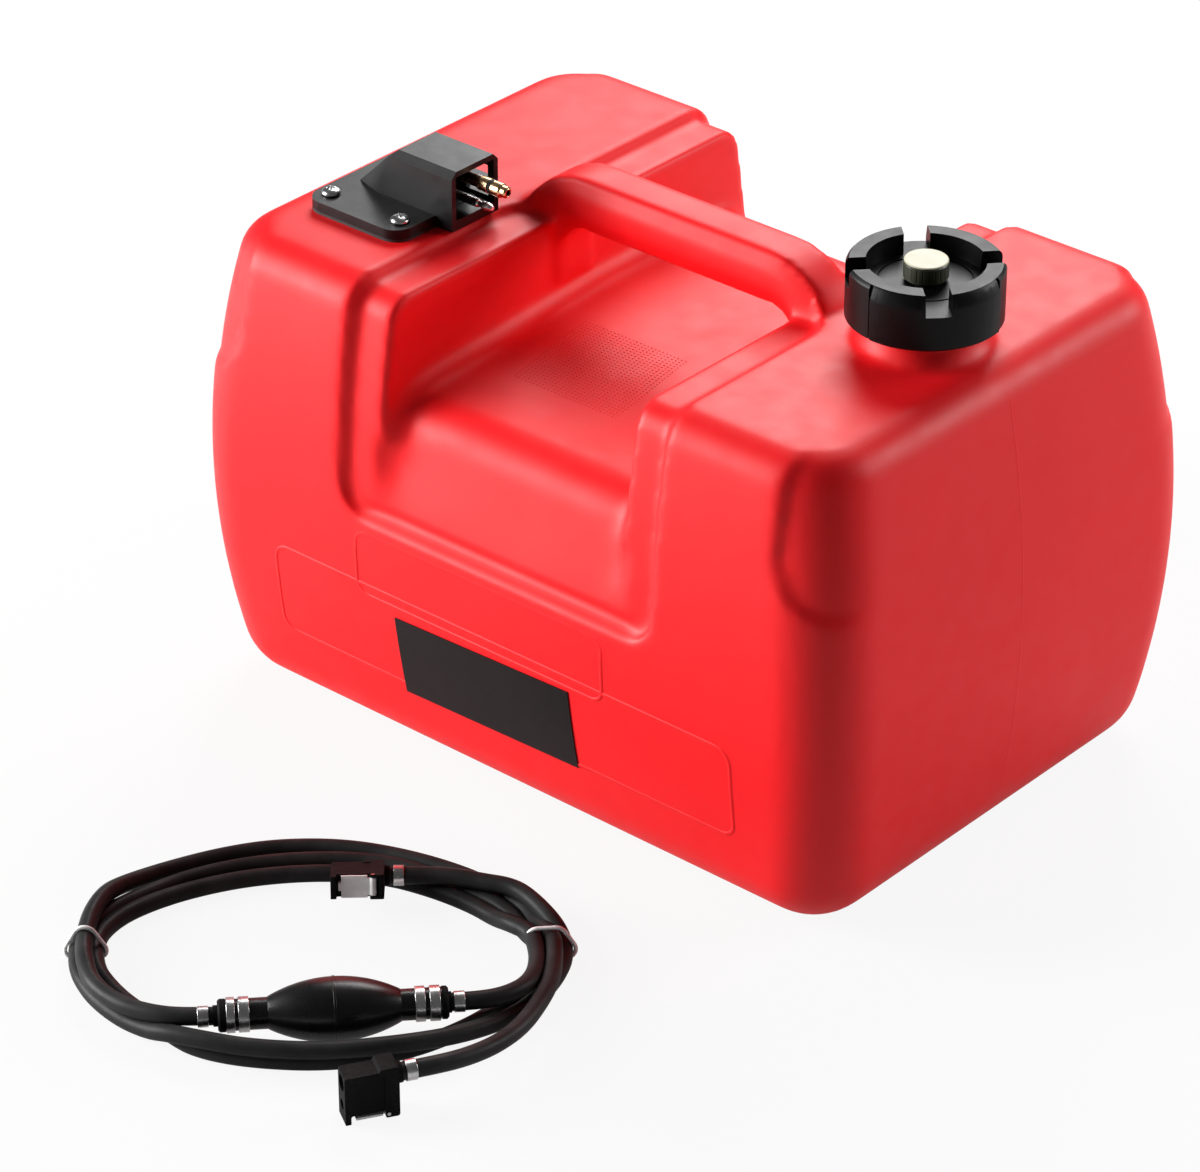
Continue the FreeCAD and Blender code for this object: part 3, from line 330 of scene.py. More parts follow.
TANK_RED = Finish("tank_red", (0.84, 0.006, 0.010), 0.44, 0.52, drift=0.03, drift_scale=9.0, specular=0.28,
                  grain_scale=1300.0, grain_depth=0.00003, wave_scale=26.0, wave_depth=0.0004)
CAP_BLACK = Finish("cap_black", (0.002, 0.002, 0.0022), 0.34, 0.44, specular=0.15, drift=0.1, wear=0.15,
                   wear_colour=(0.04, 0.04, 0.04), grain_scale=1600.0, dust=0.006)
HOUSING_BLACK = Finish("housing_black", (0.003, 0.003, 0.0035), 0.34, 0.44, specular=0.3, drift=0.1, wear=0.15,
                       wear_colour=(0.04, 0.04, 0.04), dust=0.008)
CONNECTOR_BLACK = Finish("connector_black", (0.011, 0.011, 0.0112), 0.45, 0.55, specular=0.02, drift=0.1, wear=0.18,
                         wear_colour=(0.05, 0.05, 0.05), dust=0.008)
HOSE_RUBBER = Finish("hose_rubber", (0.026, 0.026, 0.0265), 0.36, 0.48, drift=0.2, drift_scale=60.0,
                     grain_scale=1500.0, grain_depth=0.00003, dust=0.02, specular=0.08)
BULB_RUBBER = Finish("bulb_rubber", (0.005, 0.005, 0.0055), 0.26, 0.34, drift=0.2, drift_scale=50.0,
                     grain_scale=1500.0, grain_depth=0.00003, dust=0.02, specular=0.4)
SEAL_RUBBER = Finish("seal_rubber", (0.02, 0.02, 0.02), 0.55, 0.7, grain_depth=0.00004)
KNOB_OLIVE = Finish("knob_olive", (0.035, 0.036, 0.022), 0.36, 0.48, drift=0.1)
DISC_CREAM = Finish("disc_cream", (0.52, 0.49, 0.36), 0.42, 0.52, drift=0.04, grain_depth=0.00001)
BRASS = Finish("turned_brass", (0.72, 0.47, 0.26), 0.16, 0.3, metallic=1.0, drift=0.12,
               drift_scale=160.0, grain_scale=3000.0, grain_depth=0.000008)
STEEL = Finish("bright_steel", (0.62, 0.62, 0.62), 0.2, 0.34, metallic=1.0, drift=0.1,
               drift_scale=150.0, grain_scale=3200.0, grain_depth=0.000008)
BAND_STEEL = Finish("band_steel", (0.66, 0.66, 0.66), 0.24, 0.4, metallic=1.0, drift=0.15,
                    drift_scale=150.0, grain_scale=2600.0, grain_depth=0.00001)
LATCH_METAL = Finish("latch_metal", (0.95, 0.95, 0.95), 0.3, 0.45, metallic=0.1, drift=0.08,
                     drift_scale=150.0, grain_scale=2600.0, grain_depth=0.00001)
TIE_WHITE = Finish("tie_white", (0.9, 0.9, 0.89), 0.35, 0.5, drift=0.05)
LABEL_BLACK = Finish("label_black", (0.005, 0.003, 0.003), 0.36, 0.46, specular=0.22, drift=0.1,
                     grain_depth=0.00001)
FILTER_MESH = Finish("filter_mesh", (0.55, 0.5, 0.36), 0.4, 0.55, grain_scale=900.0, grain_depth=0.0001)
TUBE_CLEAR = Finish("tube_milky", (0.6, 0.6, 0.56), 0.3, 0.4)
VALVE_BROWN = Finish("valve_plastic", (0.16, 0.1, 0.05), 0.35, 0.5)


# ---------------------------------------------------------------- mesh helpers
def placed(name: str, data: object) -> Thing:
    """Put an object with its data in the scene.

    Args:
        name: Name of the object.
        data: Its mesh, curve, light or camera.

    Returns:
        The new object.
    """
    made = bpy.data.objects.new(name, data)
    bpy.context.scene.collection.objects.link(made)
    return made


def piece(name: str, mesh: bpy.types.Mesh, finish: Finish, smooth: bool = True) -> Thing:
    """Put a mesh in the scene as a finished piece.

    Args:
        name: Name of the piece.
        mesh: Its mesh, in place.
        finish: Its finish.
        smooth: Shade faces smoothly.

    Returns:
        The new object.
    """
    mesh.name = name
    mesh.materials.clear()
    mesh.materials.append(finish.material())
    mesh.polygons.foreach_set("material_index", np.zeros(len(mesh.polygons), dtype=np.int32))
    if smooth:
        mesh.polygons.foreach_set("use_smooth", np.ones(len(mesh.polygons), dtype=bool))
    return placed(name, mesh)


def settle(made: Thing, body: str, slot: str, replaced: Sequence[str] = ()) -> Thing:
    """Say what a piece rides on and the nodes it stands for.

    Args:
        made: The piece.
        body: Body that carries it.
        slot: Not used.
        replaced: Nodes that it stands for.

    Returns:
        The piece.
    """
    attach(made, body)
    if replaced:
        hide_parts(*replaced)
    log.info("piece %s on %s: %d faces", made.name, body,
             len(made.data.polygons) if made.type == "MESH" else 0)
    return made


def dress(finish: Finish, *nodes: str) -> None:
    """Give CAD nodes a finish.

    Args:
        finish: The finish.
        nodes: Names of the nodes.
    """
    for node in nodes:
        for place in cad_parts[node].material_slots:
            tuned(place, link="OBJECT", material=finish.material())
        log.info("node %s dressed in %s", node, finish.name)


def merged(node: str) -> Form:
    """Copy of a node's mesh with its doubles merged.

    Args:
        node: Name of the node.

    Returns:
        The copy, to be freed by the caller.
    """
    work = bmesh.new()
    work.from_mesh(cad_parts[node].data)
    bmesh.ops.remove_doubles(work, verts=work.verts, dist=SAME_POINT)
    return work


def joined(work: Form) -> Form:
    """The same form with its flat areas made single faces."""
    bmesh.ops.dissolve_limit(work, angle_limit=math.radians(FLAT_ANGLE), verts=work.verts, edges=work.edges)
    return work


def to_mesh(work: Form, name: str) -> bpy.types.Mesh:
    """Turn a working form into a mesh.

    Args:
        work: The form, which is freed.
        name: Name of the mesh.

    Returns:
        The new mesh.
    """
    mesh = bpy.data.meshes.new(name)
    work.to_mesh(mesh)
    work.free()
    return mesh


def baked(made: Thing) -> bpy.types.Mesh:
    """Work out an object's modifiers and take them off.

    Args:
        made: The object, whose own data stays as it is.

    Returns:
        The plain mesh.
    """
    graph = bpy.context.evaluated_depsgraph_get()
    graph.update()
    mesh = bpy.data.meshes.new_from_object(made.evaluated_get(graph), depsgraph=graph)
    made.modifiers.clear()
    return mesh


def carved(made: Thing, cutter: Form, **settings: object) -> bpy.types.Mesh:
    """Take closed forms out of an object.

    Args:
        made: The object, whose own data stays as it is.
        cutter: The forms, which are freed.
        settings: Further settings of the Boolean modifier.

    Returns:
        The plain mesh.
    """
    tool = placed(made.name + "_cutter", to_mesh(cutter, made.name + "_cutter"))
    tuned(made.modifiers.new("cut", "BOOLEAN"), operation="DIFFERENCE", solver="EXACT", object=tool, **settings)
    mesh = baked(made)
    bpy.data.objects.remove(tool)
    return mesh


def rounded(made: Thing, width: float, steps: int, angle: float, **settings: object) -> None:
    """Add small rounds on an object's edges that are sharper than an angle in degrees."""
    tuned(made.modifiers.new("rounds", "BEVEL"), width=width, segments=steps, limit_method="ANGLE",
          angle_limit=math.radians(angle), harden_normals=True, **settings)


def spots_of(mesh: bpy.types.Mesh) -> np.ndarray:
    """Read the points of a mesh.

    Args:
        mesh: The mesh.

    Returns:
        Its points, one to a row.
    """
    spots = np.empty(len(mesh.vertices) * 3)
    mesh.vertices.foreach_get("co", spots)
    return spots.reshape(-1, 3)


def move_spots(mesh: bpy.types.Mesh, spots: np.ndarray) -> None:
    """Put a mesh's points in new places."""
    mesh.vertices.foreach_set("co", spots.ravel())
    mesh.update()


def inside_node(mesh: bpy.types.Mesh, node: str) -> None:
    """Hold a mesh's points inside a node's box."""
    low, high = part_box(node)
    move_spots(mesh, np.clip(spots_of(mesh), np.array(low), np.array(high)))


def softened(name: str, node: str, finish: Finish, edge: float, body: str = ROOT, slot: str = "",
             steps: int = 2, angle: float = 32.0, cutter: Optional[Form] = None) -> Thing:
    """Copy of a node with small rounds on its edges, which stands for it.

    Args:
        name: Name of the piece.
        node: Node to copy and replace.
        finish: Finish of the piece.
        edge: Width of the rounds in metres.
        body: Body that carries it.
        slot: Not used.
        steps: Segments of each round.
        angle: Edges sharper than this many degrees are rounded.
        cutter: Closed forms to take away before the edges are rounded.

    Returns:
        The piece.
    """
    made = piece(name, to_mesh(joined(merged(node)), name), finish)
    if cutter is not None:
        mesh = carved(made, cutter)
        work = bmesh.new()
        work.from_mesh(mesh)
        bmesh.ops.remove_doubles(work, verts=work.verts, dist=SAME_CUT_POINT)
        for face in joined(work).faces:
            face.smooth = True
        work.to_mesh(mesh)
        work.free()
        made.data = mesh
    rounded(made, edge, steps, angle, miter_outer="MITER_ARC")
    tuned(made.modifiers.new("flats", "WEIGHTED_NORMAL"), weight=60)
    made.data = baked(made)
    inside_node(made.data, node)
    return settle(made, body, slot or node, (node,))


def lathe(profile: Sequence[Flat], sides: int, ring: bool = False, work: Optional[Form] = None) -> Form:
    """Turn an outline of (radius, height) points about the upright axis.

    Args:
        profile: Outline from the lower end of the axis to the upper.
        sides: Steps round the axis.
        ring: Join the outline's end to its start, for a form with a bore.
        work: Form to add to.

    Returns:
        The closed form, normals outward.
    """
    work = bmesh.new() if work is None else work
    turns = [2 * math.pi * k / sides for k in range(sides)]
    rings = []
    for radius, height in profile:
        spots = [(radius * math.cos(turn), radius * math.sin(turn), height) for turn in turns]
        rings.append([work.verts.new(spot) for spot in (spots if radius > 0.0 else spots[:1])])
    for low, high in zip(rings, rings[1:] + (rings[:1] if ring else [])):
        for k in range(sides):
            n = (k + 1) % sides
            if len(low) == 1:
                corners = (low[0], high[n], high[k])
            elif len(high) == 1:
                corners = (low[k], low[n], high[0])
            else:
                corners = (low[k], low[n], high[n], high[k])
            work.faces.new(corners)
    bmesh.ops.recalc_face_normals(work, faces=work.faces)
    return work


def hull(spots: Sequence[Vector]) -> list[Vector]:
    """Outer loop of points in a plane.

    Args:
        spots: Points of two coordinates.

    Returns:
        The points of the loop, in turn.
    """
    ordered = sorted(spots, key=lambda spot: (spot.x, spot.y))
    loops = []
    for run in (ordered, ordered[::-1]):
        loop: list[Vector] = []
        for spot in run:
            while len(loop) > 1 and (loop[-1] - loop[-2]).cross(spot - loop[-1]) <= 0:
                loop.pop()
            loop.append(spot)
        loops += loop[:-1]
    return loops


# ---------------------------------------------------------------- geometry node trees
class Recipe:
    """A geometry node tree with named inputs that is applied to a plain object."""

    def __init__(self, name: str, **inputs: str) -> None:
        """Start a tree.

        Args:
            name: Name of the tree.
            inputs: Socket type of each named input.
        """
        self.tree = bpy.data.node_groups.new(name, "GeometryNodeTree")
        sockets = self.tree.interface
        sockets.new_socket("Geometry", in_out="OUTPUT", socket_type="NodeSocketGeometry")
        for item, kind in {"Geometry": "Geometry", **inputs, "Material": "Material"}.items():
            sockets.new_socket(item, in_out="INPUT", socket_type="NodeSocket" + kind)
        self.board = Board(self.tree)
        self.given = self.board.add("NodeGroupInput").outputs

    def add(self, kind: str, feeds: Optional[dict] = None, **settings: object) -> bpy.types.Node:
        """Add a geometry node by its short name."""
        return self.board.add("GeometryNode" + kind, feeds, **settings)

    def drawn(self, low: object, high: object) -> object:
        """Seeded random number for each point, between two limits."""
        feeds = {RANDOM_LOW: low, RANDOM_HIGH: high, "Seed": self.given["Seed"]}
        return self.board.add("FunctionNodeRandomValue", feeds, data_type="FLOAT").outputs[RANDOM_RESULT]

    def close(self, result: object) -> "Recipe":
        """End the tree in Realize Instances and Set Material.

        Args:
            result: Node or socket of the tree's geometry.

        Returns:
            The recipe.
        """
        plain = self.add("RealizeInstances", {0: result})
        paint = self.add("SetMaterial", {"Geometry": plain, "Material": self.given["Material"]})
        self.board.add("NodeGroupOutput", {0: paint})
        return self

    def make(self, name: str, seed: bpy.types.Mesh, finish: Finish, **values: object) -> Thing:
        """Run the tree on a mesh and keep the result as a plain piece.

        Args:
            name: Name of the piece.
            seed: Mesh that the tree starts from.
            finish: Finish of the piece.
            values: Inputs by name.

        Returns:
            The piece.
        """
        made = placed(name, seed)
        modifier = tuned(made.modifiers.new(self.tree.name, "NODES"), node_group=self.tree)
        values["Material"] = finish.material()
        for item in self.tree.interface.items_tree:
            if item.in_out == "INPUT" and item.name in values:
                modifier[item.identifier] = values[item.name]
        mesh = baked(made)
        bpy.data.objects.remove(made)
        return piece(name, mesh, finish)


def polyline(spots: Sequence[Sequence[float]], closed: bool, name: str) -> bpy.types.Mesh:
    """Mesh of one line through points.

    Args:
        spots: The points in turn.
        closed: Join the last point to the first.
        name: Name of the mesh.

    Returns:
        The new mesh.
    """
    mesh = bpy.data.meshes.new(name)
    count = len(spots)
    edges = [(k, (k + 1) % count) for k in range(count if closed else count - 1)]
    mesh.from_pydata([tuple(spot) for spot in spots], edges, [])
    return mesh


def bead_recipe() -> Recipe:
    """Tree that lays a round bead along a line.

    Returns:
        The recipe.
    """
    recipe = Recipe("bead_along_line", Radius="Float", Sides="Int", Spacing="Float")
    given = recipe.given
    line = recipe.add("MeshToCurve", {"Mesh": given["Geometry"]})
    even = recipe.add("ResampleCurve", {"Curve": line, "Length": given["Spacing"]}, mode="LENGTH")
    ring = recipe.add("CurvePrimitiveCircle", {"Radius": given["Radius"], "Resolution": given["Sides"]},
                      mode="RADIUS")
    return recipe.close(recipe.add("CurveToMesh", {"Curve": even, "Profile Curve": ring, "Fill Caps": True}))


def pip_recipe() -> Recipe:
    """Tree that sets small raised pips on the points of a mesh, each turned along its normal.

    Returns:
        The recipe.
    """
    recipe = Recipe("raised_pips", Radius="Float", Height="Float", Spread="Float", Seed="Int")
    board, given = recipe.board, recipe.given
    pip = recipe.add("MeshIcoSphere", {"Subdivisions": 1, "Radius": given["Radius"]})
    shape = {0: 1.0, 1: 1.0, 2: board.maths("DIVIDE", given["Height"], given["Radius"])}
    flat = recipe.add("Transform", {"Geometry": pip, "Scale": board.add("ShaderNodeCombineXYZ", shape)})
    turn = board.add("FunctionNodeAlignRotationToVector", {"Vector": recipe.add("InputNormal")}, axis="Z")
    size = recipe.drawn(board.maths("SUBTRACT", 1.0, given["Spread"]), 1.0)
    return recipe.close(recipe.add("InstanceOnPoints", {"Points": given["Geometry"], "Instance": flat,
                                                        "Rotation": turn, "Scale": size}))


def screw_recipe() -> Recipe:
    """Tree that sets one screw on each point, turned at random about its axis.

    Returns:
        The recipe.
    """
    recipe = Recipe("screws_on_points", Screw="Object", Seed="Int")
    source = recipe.add("ObjectInfo", {"Object": recipe.given["Screw"]})
    about = recipe.board.add("ShaderNodeCombineXYZ", {2: recipe.drawn(0.0, math.pi)})
    return recipe.close(recipe.add("InstanceOnPoints", {"Points": recipe.given["Geometry"], "Rotation": about,
                                                        "Instance": source.outputs["Geometry"]}))


# ---------------------------------------------------------------- tank
@dataclass
class TankShell:
    """Blow-moulded tank with its panel outlines, parting lines, stipple and label plate.

    Its skin is an even mesh laid over the outside of the tank and drawn softer, and the
    cavity is then taken out of it.
    """

    # Even mesh, its rounds of softening, and how far a point goes in one round.
    voxel: float = 0.00225
    smoothing: int = 2
    soft_share: float = 0.55
    neck_share: float = 0.12
    neck_zone: Flat = (0.034, 0.215)
    # Sloping panel of the front: y and z of its foot and head, half widths, fade and fairing.
    front_limit: float = -0.104
    panel_low: Flat = (-0.1218, 0.1222)
    panel_high: Flat = (-0.1124, 0.1554)
    panel_half: Flat = (0.063, 0.0705)
    panel_fade: float = 0.002
    panel_share: float = 0.6
    panel_rounds: int = 40
    # Ledge below the panel: depth, z of its foot and head, half width, and fade.
    ledge: tuple[float, float, float, float] = (0.0013, 0.1172, 0.1236, 0.078)
    ledge_fade: float = 0.008
    # Bores that lead from the outside into the cavity, and what tells their rims.
    neck: Flat = (0.124, 0.0)
    bore: float = 0.021
    bore_slack: float = 0.001
    pickup: Flat = (-0.110, -0.0415)
    pickup_bore: float = 0.0078
    pickup_slack: float = 0.0006
    ceiling: float = 0.218
    level_slack: float = 0.0006
    # Cavity: distances where its side walls start and how much they face inwards, its growth,
    # and how its mouth goes up the neck.
    side_walls: Flat = (0.150, 0.095)
    inward: float = 0.5
    spare: float = 0.0016
    mouth_reach: float = 0.002
    mouth_draw: float = 0.985
    mouth_rise: float = 0.006
    # Beads: radius, sides, length of a step, how proud they stand, outlines as x and z limits
    # with a corner radius, steps of a corner, longest stretch, and heights of the parting lines.
    bead: float = 0.0016
    bead_sides: int = 24
    bead_step: float = 0.002
    panel_proud: float = 0.00034
    parting_proud: float = 0.00009
    front_panel: tuple[float, ...] = (-0.127, 0.128, 0.040, 0.084, 0.007)
    text_panel: tuple[float, ...] = (-0.078, 0.060, 0.079, 0.110, 0.006)
    corner_steps: int = 6
    stretch: float = 0.004
    parting_run: tuple[float, ...] = (0.212, 0.014, -0.004)
    # Label plate: x and z of its corners, columns and rows, gap to the skin and thickness.
    label: tuple[Flat, ...] = ((-0.055, 0.036), (0.043, 0.0385), (0.041, 0.077), (-0.057, 0.074))
    label_cells: tuple[int, int] = (24, 10)
    label_lift: float = 0.0001
    label_thick: float = 0.0004
    # Stipple: x and y of its corners, columns and rows, and its pips.
    pip_patch: tuple[Flat, ...] = ((-0.046, -0.014), (0.010, -0.014), (0.016, -0.066), (-0.040, -0.066))
    pip_cells: tuple[int, int] = (27, 27)
    pip_sunk: float = 0.00004
    pip_size: Flat = (0.00055, 0.00028)
    pip_spread: float = 0.15
    # Where the rays that feel for the skin start, before its front, over its saddle and beside it.
    before: float = -0.2
    over: float = 0.205
    beside: float = 0.25
    skin: Optional[BVHTree] = field(default=None, repr=False)

    def build(self) -> None:
        """Make and dress every piece of the tank's skin."""
        self.skin = BVHTree.FromObject(self._shell(), bpy.context.evaluated_depsgraph_get())
        beads = bead_recipe()
        for name, spots, closed in (("front_panel_bead", self._outline(self.front_panel), True),
                                    ("text_panel_bead", self._outline(self.text_panel), True),
                                    ("parting_line_right", self._parting(1.0), False),
                                    ("parting_line_left", self._parting(-1.0), False)):
            line = beads.make(name, polyline(spots, closed, name + "_line"), TANK_RED,
                              Radius=self.bead, Sides=self.bead_sides, Spacing=self.bead_step)
            inside_node(line.data, "tank_shell")
            settle(line, ROOT, "tank_red")
        self._label_plate()
        self._stipple()

    def _shell(self) -> Thing:
        """Even fine skin over the tank with softened edges, hollow inside.

        Returns:
            The piece.
        """
        outer, inner = self._split(merged("tank_shell"))
        work = placed("tank_body", to_mesh(outer, "tank_body"))
        tuned(work.modifiers.new("even", "REMESH"), mode="VOXEL", voxel_size=self.voxel, use_smooth_shade=True)
        mesh = baked(work)
        self._relax(mesh)
        inside_node(mesh, "tank_shell")
        work.data = mesh
        mesh = carved(work, inner)
        log.info("hollow tank has %d faces", len(mesh.polygons))
        bpy.data.objects.remove(work)
        return settle(piece("tank_body", mesh, TANK_RED), ROOT, "tank_red", ("tank_shell",))

    def _split(self, work: Form) -> tuple[Form, Form]:
        """Part a copy of the tank into its outer skin and its cavity.

        Args:
            work: Merged copy of the tank.

        Returns:
            The closed outer skin and the closed cavity.
        """
        start = min(work.faces, key=lambda face: face.calc_center_median().z)
        reached = {start}
        queue = [start]
        while queue:
            for edge in queue.pop().edges:
                if not self._at_mouth(edge):
                    fresh = [face for face in edge.link_faces if face not in reached and not self._inward(face)]
                    reached.update(fresh)
                    queue.extend(fresh)
        hidden = {face.index for face in work.faces if face not in reached}
        inner = work.copy()
        for part, drop in ((work, hidden), (inner, set(range(len(work.faces))) - hidden)):
            part.faces.ensure_lookup_table()
            bmesh.ops.delete(part, geom=[part.faces[k] for k in drop], context="FACES")
            if part is inner:
                part.normal_update()
                for vert in part.verts:
                    vert.co += vert.normal * self.spare
                self._raise_mouth(part)
            bmesh.ops.holes_fill(part, edges=[edge for edge in part.edges if edge.is_boundary], sides=0)
            if part is inner:
                bmesh.ops.recalc_face_normals(part, faces=part.faces)
            bmesh.ops.triangulate(part, faces=[face for face in part.faces if len(face.verts) > 4])
        log.info("skin %d faces, cavity %d faces", len(work.faces), len(inner.faces))
        return work, inner

    def _inward(self, face: bmesh.types.BMFace) -> bool:
        """Whether a face near a side looks towards the middle, as the cavity's walls do.

        Args:
            face: Face of the tank.

        Returns:
            True on such a wall.
        """
        spot = face.calc_center_median()
        return any(abs(spot[axis]) > wall and face.normal[axis] * spot[axis] < -self.inward * abs(spot[axis])
                   for axis, wall in enumerate(self.side_walls))

    def _at_mouth(self, edge: bmesh.types.BMEdge) -> bool:
        """Whether an edge lies on the rim where a bore opens into the cavity.

        Args:
            edge: Edge of the tank.

        Returns:
            True on a rim.
        """
        rims = (self.neck, self.bore, self.bore_slack), (self.pickup, self.pickup_bore, self.pickup_slack)
        return all(abs(vert.co.z - self.ceiling) < self.level_slack
                   and any(abs(math.dist(vert.co.xy, middle) - radius) < slack for middle, radius, slack in rims)
                   for vert in edge.verts)

    def _raise_mouth(self, part: Form) -> None:
        """Carry the cavity's mouth up into the neck's bore so that the two meet.

        Args:
            part: The open cavity.
        """
        near = [edge for edge in part.edges if edge.is_boundary
                and all(math.dist(vert.co.xy, self.neck) < self.bore + self.mouth_reach for vert in edge.verts)]
        grown = bmesh.ops.extrude_edge_only(part, edges=near)["geom"]
        for vert in (item for item in grown if isinstance(item, bmesh.types.BMVert)):
            flat = (vert.co.xy - Vector(self.neck)) * self.mouth_draw
            vert.co = Vector((self.neck[0] + flat.x, self.neck[1] + flat.y, vert.co.z + self.mouth_rise))

    def _relax(self, mesh: bpy.types.Mesh) -> None:
        """Soften the skin as blow moulding does, but the neck only a little.

        Args:
            mesh: Mesh of the skin.
        """
        pairs = np.empty(len(mesh.edges) * 2, dtype=np.int64)
        mesh.edges.foreach_get("vertices", pairs)
        pairs = pairs.reshape(-1, 2)
        spots, panel = self._front_panel(spots_of(mesh))
        spots = self._evened(spots, pairs, panel * self.panel_share, self.panel_rounds)
        away = np.hypot(spots[:, 0] - self.neck[0], spots[:, 1] - self.neck[1])
        on_neck = (away < self.neck_zone[0]) & (spots[:, 2] > self.neck_zone[1])
        share = np.where(on_neck, self.neck_share, self.soft_share)
        move_spots(mesh, self._ledge(self._evened(spots, pairs, share, self.smoothing)))

    def _front_panel(self, spots: np.ndarray) -> tuple[np.ndarray, np.ndarray]:
        """Fair the sloping panel under the saddle's front crest.

        Args:
            spots: Points of the skin.

        Returns:
            The points with the panel faired, and each point's share in it.
        """
        (low_y, low_z), (high_y, high_z), (half, edge) = self.panel_low, self.panel_high, self.panel_half
        across = np.clip((edge - np.abs(spots[:, 0])) / (edge - half), 0, 1)
        rise = np.clip((spots[:, 2] - low_z + self.panel_fade / 2) / self.panel_fade, 0, 1)
        fall = np.clip((high_z + self.panel_fade / 2 - spots[:, 2]) / self.panel_fade, 0, 1)
        share = across * across * (3 - 2 * across) * rise * fall * (spots[:, 1] < self.front_limit)
        aim = low_y + (spots[:, 2] - low_z) / (high_z - low_z) * (high_y - low_y)
        spots[:, 1] += share * (aim - spots[:, 1])
        return spots, share

    def _ledge(self, spots: np.ndarray) -> np.ndarray:
        """Sink the narrow ledge between the frame's lower edge and the panel.

        Args:
            spots: Points of the skin.

        Returns:
            The points with the ledge sunk.
        """
        depth, foot, head, half = self.ledge
        along = np.clip((spots[:, 2] - foot) / (head - foot), 0, 1)
        across = np.clip((half - np.abs(spots[:, 0])) / self.ledge_fade, 0, 1)
        spots[:, 1] += depth * (np.sin(along * math.pi) * across * (spots[:, 1] < self.front_limit))
        return spots

    @staticmethod
    def _evened(spots: np.ndarray, pairs: np.ndarray, share: np.ndarray, rounds: int) -> np.ndarray:
        """Draw points towards the middle of their neighbours.

        Args:
            spots: Points of the mesh.
            pairs: Ends of each edge.
            share: How far each point goes in one round.
            rounds: Number of rounds.

        Returns:
            The moved points.
        """
        count = len(spots)
        links = np.bincount(pairs.ravel(), minlength=count).astype(float)[:, None]
        for _ in range(rounds):
            total = np.stack([np.bincount(pairs[:, 0], spots[pairs[:, 1], axis], count)
                              + np.bincount(pairs[:, 1], spots[pairs[:, 0], axis], count)
                              for axis in range(3)], axis=1)
            spots = spots + share[:, None] * (total / links - spots)
        return spots

    def _felt(self, start: Point, aim: Point, lift: float) -> Vector:
        """Point at a distance over the place where a ray meets the skin."""
        spot, normal, _, _ = self.skin.ray_cast(Vector(start), Vector(aim))
        return spot + normal * lift

    def _on_front(self, x: float, z: float, lift: float) -> Vector:
        """Point over the front of the skin."""
        return self._felt((x, self.before, z), (0, 1, 0), lift)

    def _on_saddle(self, x: float, y: float, lift: float) -> Vector:
        """Point over the saddle, below its handle."""
        return self._felt((x, y, self.over), (0, 0, -1), lift)

    def _outline(self, limits: Sequence[float]) -> list[Vector]:
        """Middle line of a bead round a panel of the front.

        Args:
            limits: Lowest and highest x, lowest and highest z, and the corners' radius.

        Returns:
            Points of the closed outline.
        """
        x0, x1, z0, z1, corner = limits
        flat = []
        for x, z, start in ((x1 - corner, z1 - corner, 0), (x0 + corner, z1 - corner, 90),
                            (x0 + corner, z0 + corner, 180), (x1 - corner, z0 + corner, 270)):
            for step in range(self.corner_steps + 1):
                angle = math.radians(start + 90 * step / self.corner_steps)
                flat.append((x + corner * math.cos(angle), z + corner * math.sin(angle)))
        dense = []
        for (xa, za), (xb, zb) in zip(flat, flat[1:] + flat[:1]):
            parts = max(1, int(math.dist((xa, za), (xb, zb)) / self.stretch))
            dense += [(xa + (xb - xa) * k / parts, za + (zb - za) * k / parts) for k in range(parts)]
        return [self._on_front(x, z, self.panel_proud - self.bead) for x, z in dense]

    def _parting(self, side: float) -> list[Vector]:
        """Middle line of the mould's parting bead down one end."""
        return [self._felt((side * self.beside, 0.0, z), (-side, 0, 0), self.parting_proud - self.bead)
                for z in np.arange(*self.parting_run)]

    @staticmethod
    def _sheet(corners: Sequence[Flat], cells: tuple[int, int], over: Callable[..., Vector], lift: float) -> Form:
        """Even grid laid over the skin.

        Args:
            corners: Ends of the first row, then ends of the last row from the far side back.
            cells: Columns and rows.
            over: Finds the skin at two coordinates.
            lift: Distance over the skin.

        Returns:
            The grid.
        """
        first, second, third, fourth = (np.array(corner) for corner in corners)
        work = bmesh.new()
        rows = []
        for down in np.linspace(0, 1, cells[1] + 1):
            near, far = first + down * (fourth - first), second + down * (third - second)
            rows.append([work.verts.new(over(*(near + along * (far - near)), lift))
                         for along in np.linspace(0, 1, cells[0] + 1)])
        for upper, lower in zip(rows, rows[1:]):
            for k in range(cells[0]):
                work.faces.new((upper[k], lower[k], lower[k + 1], upper[k + 1]))
        bmesh.ops.recalc_face_normals(work, faces=work.faces)
        return work

    def _label_plate(self) -> None:
        """Bare label plate, bent over the front."""
        work = self._sheet(self.label, self.label_cells, self._on_front, self.label_lift)
        if sum(face.normal.y for face in work.faces) > 0:
            bmesh.ops.reverse_faces(work, faces=work.faces)
        made = piece("label_plate", to_mesh(work, "label_plate"), LABEL_BLACK, smooth=False)
        tuned(made.modifiers.new("wall", "SOLIDIFY"), thickness=self.label_thick, offset=1.0)
        made.data = baked(made)
        settle(made, ROOT, "cap_black")

    def _stipple(self) -> None:
        """Fine raised pips on the slope of the saddle."""
        work = self._sheet(self.pip_patch, self.pip_cells, self._on_saddle, -self.pip_sunk)
        radius, height = self.pip_size
        made = pip_recipe().make("saddle_stipple", to_mesh(work, "stipple_grid"), TANK_RED,
                                 Radius=radius, Height=height, Spread=self.pip_spread, Seed=5)
        settle(made, ROOT, "tank_red")


